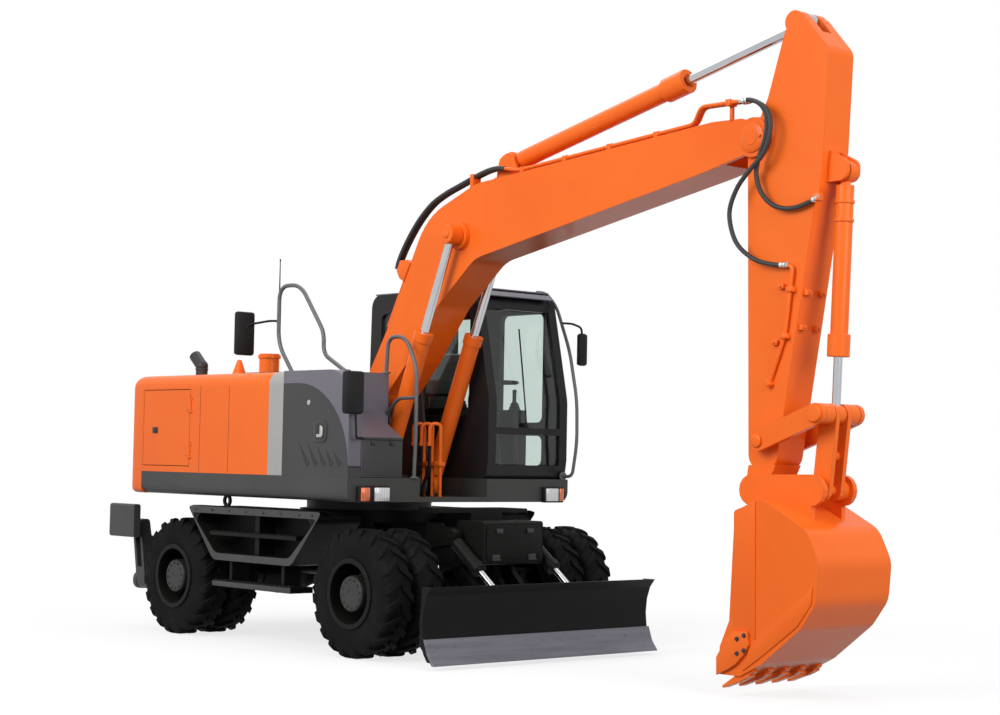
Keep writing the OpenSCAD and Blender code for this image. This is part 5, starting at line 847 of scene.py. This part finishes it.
for side, s in SIDES:
    piece(f"boom_rod_cap_{side}", "boom_rods", ORANGE,
          cap([(79.5, -110), (79.5, 6), (74, 12), (34, 14), (34, 20), (28, 24)], ROD_PIN, s, 334, 40))
rod_sleeve = [(60, -38.6), (65.4, -38.6), (67.4, -36.6), (67.4, 36.6), (65.4, 38.6), (60, 38.6)]
piece("bucket_rod_cap", "bucket_rod", ORANGE, cap(rod_sleeve, LINK_PIN, 1, 0, 40))
for side, s in SIDES:
    piece(f"arm_pin_cap_{side}", "boom", ORANGE,
          cap([(112, 0), (112, 8), (104, 14), (60, 16), (56, 20), (20, 20)], ARM_PIN, s, 180, 40),
          bolt((ARM_PIN[0] + 84, BOOM_Y + s * 194, ARM_PIN[1]), Y * s, 16))
    piece(f"idler_pin_cap_{side}", "arm", ORANGE, cap([(46, 0), (46, 8), (40, 12), (14, 12)], IDLER_PIN, s, 238, 28))
    piece(f"link_pin_cap_{side}", "idler_links", ORANGE,
          cap([(62, 0), (62, 14), (54, 22), (22, 24)], LINK_PIN, s, 232, 32))
    # The link's cross tubes between the rod's eye and the plates outside it
    piece(f"link_tubes_{side}", "bucket_link", ORANGE,
          *[cap([(70, 0), (74, 4), (74, l - 4), (70, l)], pin, s, 86, 36)
            for l, pin in ((102, LINK_PIN), (60, EAR_PIN))])


# Cylinders: the screwed gland collars, and two bands round the bucket cylinder
def collar(name, body, base, heading, reach, bore, r):
    """A collar round a cylinder's barrel: base (x, z), heading in degrees, reach from and to along it."""
    a = math.radians(heading)
    long = reach[1] - reach[0]
    start = (base[0] + reach[0] * math.cos(a), BOOM_Y, base[1] + reach[0] * math.sin(a))
    profile = [(bore, 0), (r - 4, 0), (r, 5), (r, long - 6), (r - 5, long), (bore, long)]
    piece(name, body, ORANGE, ring(profile, start, (math.cos(a), 0, math.sin(a)), 48))


ARM_CYLINDER = ("arm_barrel", (1980.081, 4086.374), 12.811)
BUCKET_CYLINDER = ("bucket_barrel", (5431.955, 3689.484), -92.295)
collar("arm_gland_collar", *ARM_CYLINDER, (1770, 1994), 52, 95)
collar("bucket_gland_collar", *BUCKET_CYLINDER, (1140, 1300), 44, 80)
collar("bucket_barrel_band_0", *BUCKET_CYLINDER, (200, 226), 62, 71)
collar("bucket_barrel_band_1", *BUCKET_CYLINDER, (330, 356), 62, 71)

# Arm: the pipe from the outer hose, its clamps, and clips on the side and the front
run = [(5040, -268, 3043), (5098, -268, 3030), (5081, -266, 2897), (5033, -262, 2556), (4915, -258, 2270),
       (4888, -252, 2205)]
piece("arm_pipe", "arm", ORANGE, pipe(bent(run, 60, 5), 28, 12),
      lathe([(26, 0), (26, 44), (20, 50)], (4888, -238, 2205), -Y, 6))
clips = [joined(block(x - 26, x + 26, -272, -238, z - 18, z + 18, 5), bolt((x, -272, z), -Y, 12))
         for x, z in ((4994, 2894), (4941, 2496))]
clips += [block(x - 30, x + 30, -286, -238, z - 20, z + 20, 6) for x, z in ((5078, 2870), (5029, 2540))]
clips.append(block(5236, 5344, -288, -238, 3476, 3534, 8))
piece("arm_clips", "arm", ORANGE, *clips)
front = [(5100 + (z - 2500) * 0.177, z) for z in (2600, 2845)]
front_clips = [joined(block(x - 4, x + 34, y - 30, y + 30, z - 20, z + 20, 5), bolt((x + 34, y, z), X, 12))
               for x, z in front for y in (-190, -30)]
piece("arm_front_clips", "arm", ORANGE, *front_clips)

# Bucket: tooth adapters along its lip, side plates and bolted side cutters
LIP_X, LIP_Z, FLOOR_X, FLOOR_Z = 4857, 148, 5057, 252
slope = math.atan2(LIP_Z - FLOOR_Z, LIP_X - FLOOR_X)
along, below = Vector((math.cos(slope), 0, math.sin(slope))), Vector((-math.sin(slope), 0, math.cos(slope)))
wedge = [(-110, -14), (-20, -32), (30, -30), (52, -18), (52, 18), (30, 30), (-20, 32), (-110, 14)]
TEETH, TEETH_SPAN = 5, 708
adapters = []
for k in range(TEETH):
    y = BOOM_Y + (k / (TEETH - 1) - 0.5) * TEETH_SPAN
    adapters.append(plate(wedge, 64, Vector((LIP_X, y + 32, LIP_Z)), along, below, 6))
piece("tooth_adapters", "bucket", ORANGE, *adapters)
CUTTER = [(4807, 460), (4937, 470), (4954, 374), (4904, 299), (4835, 231), (4765, 189), (4658, 144), (4656, 269),
          (4737, 392)]
CUTTER_T, BAR_T, BUCKET_HALF_W = 26, 8, 400
CUTTER_BOLTS = ((4851, 411), (4915, 440), (4852, 310), (4915, 335))
SIDE_BAR = [(4790, 1292), (4984, 1384), (4999, 412), (4929, 469), (4804, 459)]
SIDE_WEDGE = [(4999, 412), (5500, 806), (5490, 690), (5370, 530), (5059, 303), (4890, 190), (4947, 364)]
for side, s in SIDES:
    face = BOOM_Y + s * BUCKET_HALF_W
    # A plate's thickness runs to the right of its outline, so the left ones start further out
    bar_y, cutter_y = face + max(0, s * BAR_T), face + max(0, s * CUTTER_T)
    piece(f"bucket_side_bars_{side}", "bucket", ORANGE,
          *[plate(outline, BAR_T, (0, bar_y, 0)) for outline in (SIDE_BAR, SIDE_WEDGE)])
    piece(f"side_cutter_{side}", "bucket", ORANGE, plate(CUTTER, CUTTER_T, (0, cutter_y, 0), edge=5))
    piece(f"side_cutter_bolts_{side}", "bucket", CASTING,
          *[bolt((x, face + s * CUTTER_T, z), Y * s, 18) for x, z in CUTTER_BOLTS])


# Cab
ROOF = 3128
roof = [(-380, 322), (1010, 322), (1060, 350), (1060, 1176), (1010, 1206), (-380, 1206), (-400, 1180), (-400, 350)]
piece("cab_roof_cover", "upper", MID_GREY, plate(roof, 14, (0, 0, ROOF), X, Y, 8))
piece("cab_roof_ribs", "upper", MID_GREY, *[block(-330, 960, y - 22, y + 22, ROOF + 12, ROOF + 22, 7)
                                           for y in (430, 590, 764, 938, 1098)])
visor = [(1000, -2), (1085, -14), (1150, -58), (1142, -66), (1080, -28), (1000, -16)]
piece("cab_visor", "upper", MID_GREY, plate(visor, 780, (0, 1154, ROOF)))
wiper = [(1268, 722, 1935), (1290, 720, 1945), (1278, 700, 2190), (1264, 680, 2430)]
piece("windscreen_wiper", "upper", ABS, pipe(bent(wiper, 20), 13, 8), stud((1266, 722, 1935), X, 46, 26, 18),
      pipe([(1276, 690, 2290), (1226, 668, 2781)], 14, 6))
piece("cab_door_handle", "cab_door", ABS, block(1062, 1150, 1236, 1262, 2000, 2044, 10),
      block(1072, 1088, 1230, 1250, 2006, 2038))
piece("cab_monitor", "upper", ABS, block(1010, 1042, 420, 640, 2160, 2320, 12),
      pipe([(1026, 500, 1560), (1026, 500, 2170)], 34))
SEAT_Y = 764
piece("cab_pedals", "upper", CASTING,
      *[joined(block(1000, 1090, y - 45, y + 45, 1545, 1570, 6, Matrix.Rotation(0.5, 3, "Y")),
               pipe([(1020, y, 1565), (980, y, 1850)], 18, 8)) for y in (660, 868)])
boot = [(58, 0), (44, 18), (50, 26), (36, 44), (42, 52), (22, 74), (16, 70)]
piece("lever_boots", "upper", ABS, *[ring(boot, (730, SEAT_Y + s * 320, 2080), Z, 24) for s in (-1, 1)])

# Operator's seat: two foam cushions and a headrest in woven cloth, swelled by a cloth simulation
CUSHION_VOXEL_MM, SWELL_FRAMES, SWELL_PRESSURE, SWELL_CAP_MM = 12, 20, 4, 12
SEAM_W, SEAM_DEEP = 7, 5


def cushion(name, l, w, t, to_place, side_bolster):
    """A crowned foam pad: a box that swells under pressure, then gets sewn channels."""
    b = bmesh.new()
    bmesh.ops.create_cube(b, size=1)
    for v in b.verts:
        v.co = Vector((v.co.x * l, v.co.y * w, v.co.z * t)) * MM
    bmesh.ops.bevel(b, geom=b.edges[:], offset=t * 0.3 * MM, segments=3, profile=0.6, affect="EDGES")
    mesh = bpy.data.meshes.new(name)
    b.to_mesh(mesh)
    b.free()
    made = bpy.data.objects.new(name, mesh)
    bpy.context.scene.collection.objects.link(made)
    voxel = made.modifiers.new("even_mesh", "REMESH")
    voxel.mode, voxel.voxel_size = "VOXEL", CUSHION_VOXEL_MM * MM
    settle(made)
    start = [v.co.copy() for v in made.data.vertices]
    cloth = made.modifiers.new("swell", "CLOTH")
    cloth.settings.use_pressure = True
    cloth.settings.uniform_pressure_force = SWELL_PRESSURE
    cloth.settings.effector_weights.gravity = 0
    cloth.point_cache.frame_end = SWELL_FRAMES
    for frame_no in range(1, SWELL_FRAMES + 1):
        bpy.context.scene.frame_set(frame_no)
    settle(made)
    bpy.context.scene.frame_set(1)
    for v, was in zip(made.data.vertices, start):
        moved = v.co - was
        if moved.length > SWELL_CAP_MM * MM:
            v.co = was + moved.normalized() * SWELL_CAP_MM * MM
    for v in made.data.vertices:
        x, y, z = (v.co / MM)[:]
        if z > 0:
            bolster = side_bolster * max(0, abs(y) / (w / 2) - 0.55) ** 2 * 4
            channels = sum(math.exp(-((x - c * l) / SEAM_W) ** 2) for c in (-0.25, 0, 0.25)) * (abs(y) < w * 0.33)
            seam = math.exp(-((abs(y) - w * 0.34) / SEAM_W) ** 2)
            v.co.z += (bolster - SEAM_DEEP * (channels + seam)) * MM
    made.data.transform(to_place)
    made.data.materials.append(CLOTH)
    made.data.polygons.foreach_set("use_smooth", [True] * len(made.data.polygons))
    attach(made, "upper")
    return made


def settle(made):
    """Applies every modifier to the piece's mesh."""
    bpy.context.view_layer.update()
    done = bpy.data.meshes.new_from_object(made.evaluated_get(bpy.context.evaluated_depsgraph_get()))
    made.modifiers.clear()
    made.data = done


lean = Matrix.Rotation(math.radians(-78), 4, "Y")
seat = cushion("seat_cushion", 440, 440, 95, Matrix.Translation(at(430, SEAT_Y, 1962)), 26)
cushion("seat_back_cushion", 560, 430, 95, Matrix.Translation(at(158, SEAT_Y, 2330)) @ lean, 30)
cushion("seat_headrest", 150, 260, 70, Matrix.Translation(at(86, SEAT_Y, 2680)) @ lean, 8)
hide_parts("operator_seat")
piece("headrest_posts", "upper", CHROME,
      *[pipe([(104, y, 2580), (88, y, 2660)], 12, 8) for y in (SEAT_Y - 60, SEAT_Y + 60)])
piece("seat_armrests", "upper", ABS,
      *[joined(block(170, 480, y - 24, y + 24, 2190, 2222, 12), block(160, 190, y - 14, y + 14, 1990, 2200, 5))
        for y in (SEAT_Y - 262, SEAT_Y + 262)])

# Stage: a pale floor that turns to plain white far off, soft light from above and from the camera's side.
# Share of plain white in the floor under the machine, the tone it throws back on undersides, and half its width
NEAR_WHITE, BOUNCE, FLOOR_HALF = 0.75, "#6C6C6C", 150


def rays_that_see(tree):
    """1 for the rays that show the background: the camera's own, and those in metal and through glass."""
    rays = add(tree, "LightPath")
    shine = calc(tree, "MAXIMUM", (rays, "Is Glossy Ray"), (rays, "Is Transmission Ray"))
    return calc(tree, "MAXIMUM", (rays, "Is Camera Ray"), (shine, 0))


def stage_floor():
    """Matt white floor; far from the machine it is seen as plain white."""
    made, tree = new_material("matt_white_floor")
    tone = ramp(tree, noise(tree, 500), (0.0, colour("#F4F4F4")), (1.0, colour("#F6F6F6")))
    seen = rays_that_see(tree)
    shown = add(tree, "Mix", {"data_type": "RGBA"}, {0: (seen, 0), 6: colour(BOUNCE), 7: (tone, 0)})
    matt = add(tree, "BsdfDiffuse", None, {"Color": (shown, 2)})
    white = add(tree, "Emission", None, {"Color": colour("#FFFFFF"), "Strength": 1.0})
    reach = add(tree, "VectorMath", {"operation": "LENGTH"}, {0: (add(tree, "TexCoord"), "Object")})
    far = remap(tree, (reach, "Value"), 2.0, 7.0, low=NEAR_WHITE)
    far.interpolation_type = "SMOOTHSTEP"
    share = calc(tree, "MULTIPLY", (far, 0), (seen, 0))
    ended(made, tree, "MixShader", {0: (share, 0), 1: (matt, 0), 2: (white, 0)})
    mesh = bpy.data.meshes.new("floor")
    corners = [(FLOOR_HALF * x, FLOOR_HALF * y, 0) for x, y in ((-1, -1), (1, -1), (1, 1), (-1, 1))]
    mesh.from_pydata(corners, [], [(0, 1, 2, 3)])
    mesh.materials.append(made)
    floor = bpy.data.objects.new("floor", mesh)
    bpy.context.scene.collection.objects.link(floor)


def soft_box(name, place, target, size, power):
    """A square lamp that faces target."""
    lamp = bpy.data.lights.new(name, "AREA")
    lamp.shape = "SQUARE"
    lamp.size = size
    lamp.energy = power
    made = bpy.data.objects.new(name, lamp)
    made.location = place
    made.rotation_euler = (Vector(target) - Vector(place)).to_track_quat("-Z", "Y").to_euler()
    bpy.context.scene.collection.objects.link(made)


stage_floor()
MIDDLE = (0, 0, 1.5)
soft_box("key_soft_box", (0.5, -13, 8.5), MIDDLE, 8, 1620)
soft_box("fill_soft_box", (13, -1, 6), MIDDLE, 7, 800)
soft_box("top_soft_box", (-3, 2, 12), MIDDLE, 9, 420)
world = bpy.data.worlds.new("studio")
bpy.context.scene.world = world
world.use_nodes = True
sky = world.node_tree
sky.nodes.clear()
SKY_LIGHT = 0.5
strength = remap(sky, (rays_that_see(sky), 0), 0.0, 1.0, low=SKY_LIGHT)
light = add(sky, "Background", None, {"Color": colour("#FFFFFF"), "Strength": (strength, 0)})
add(sky, "OutputWorld", None, {"Surface": (light, 0)})
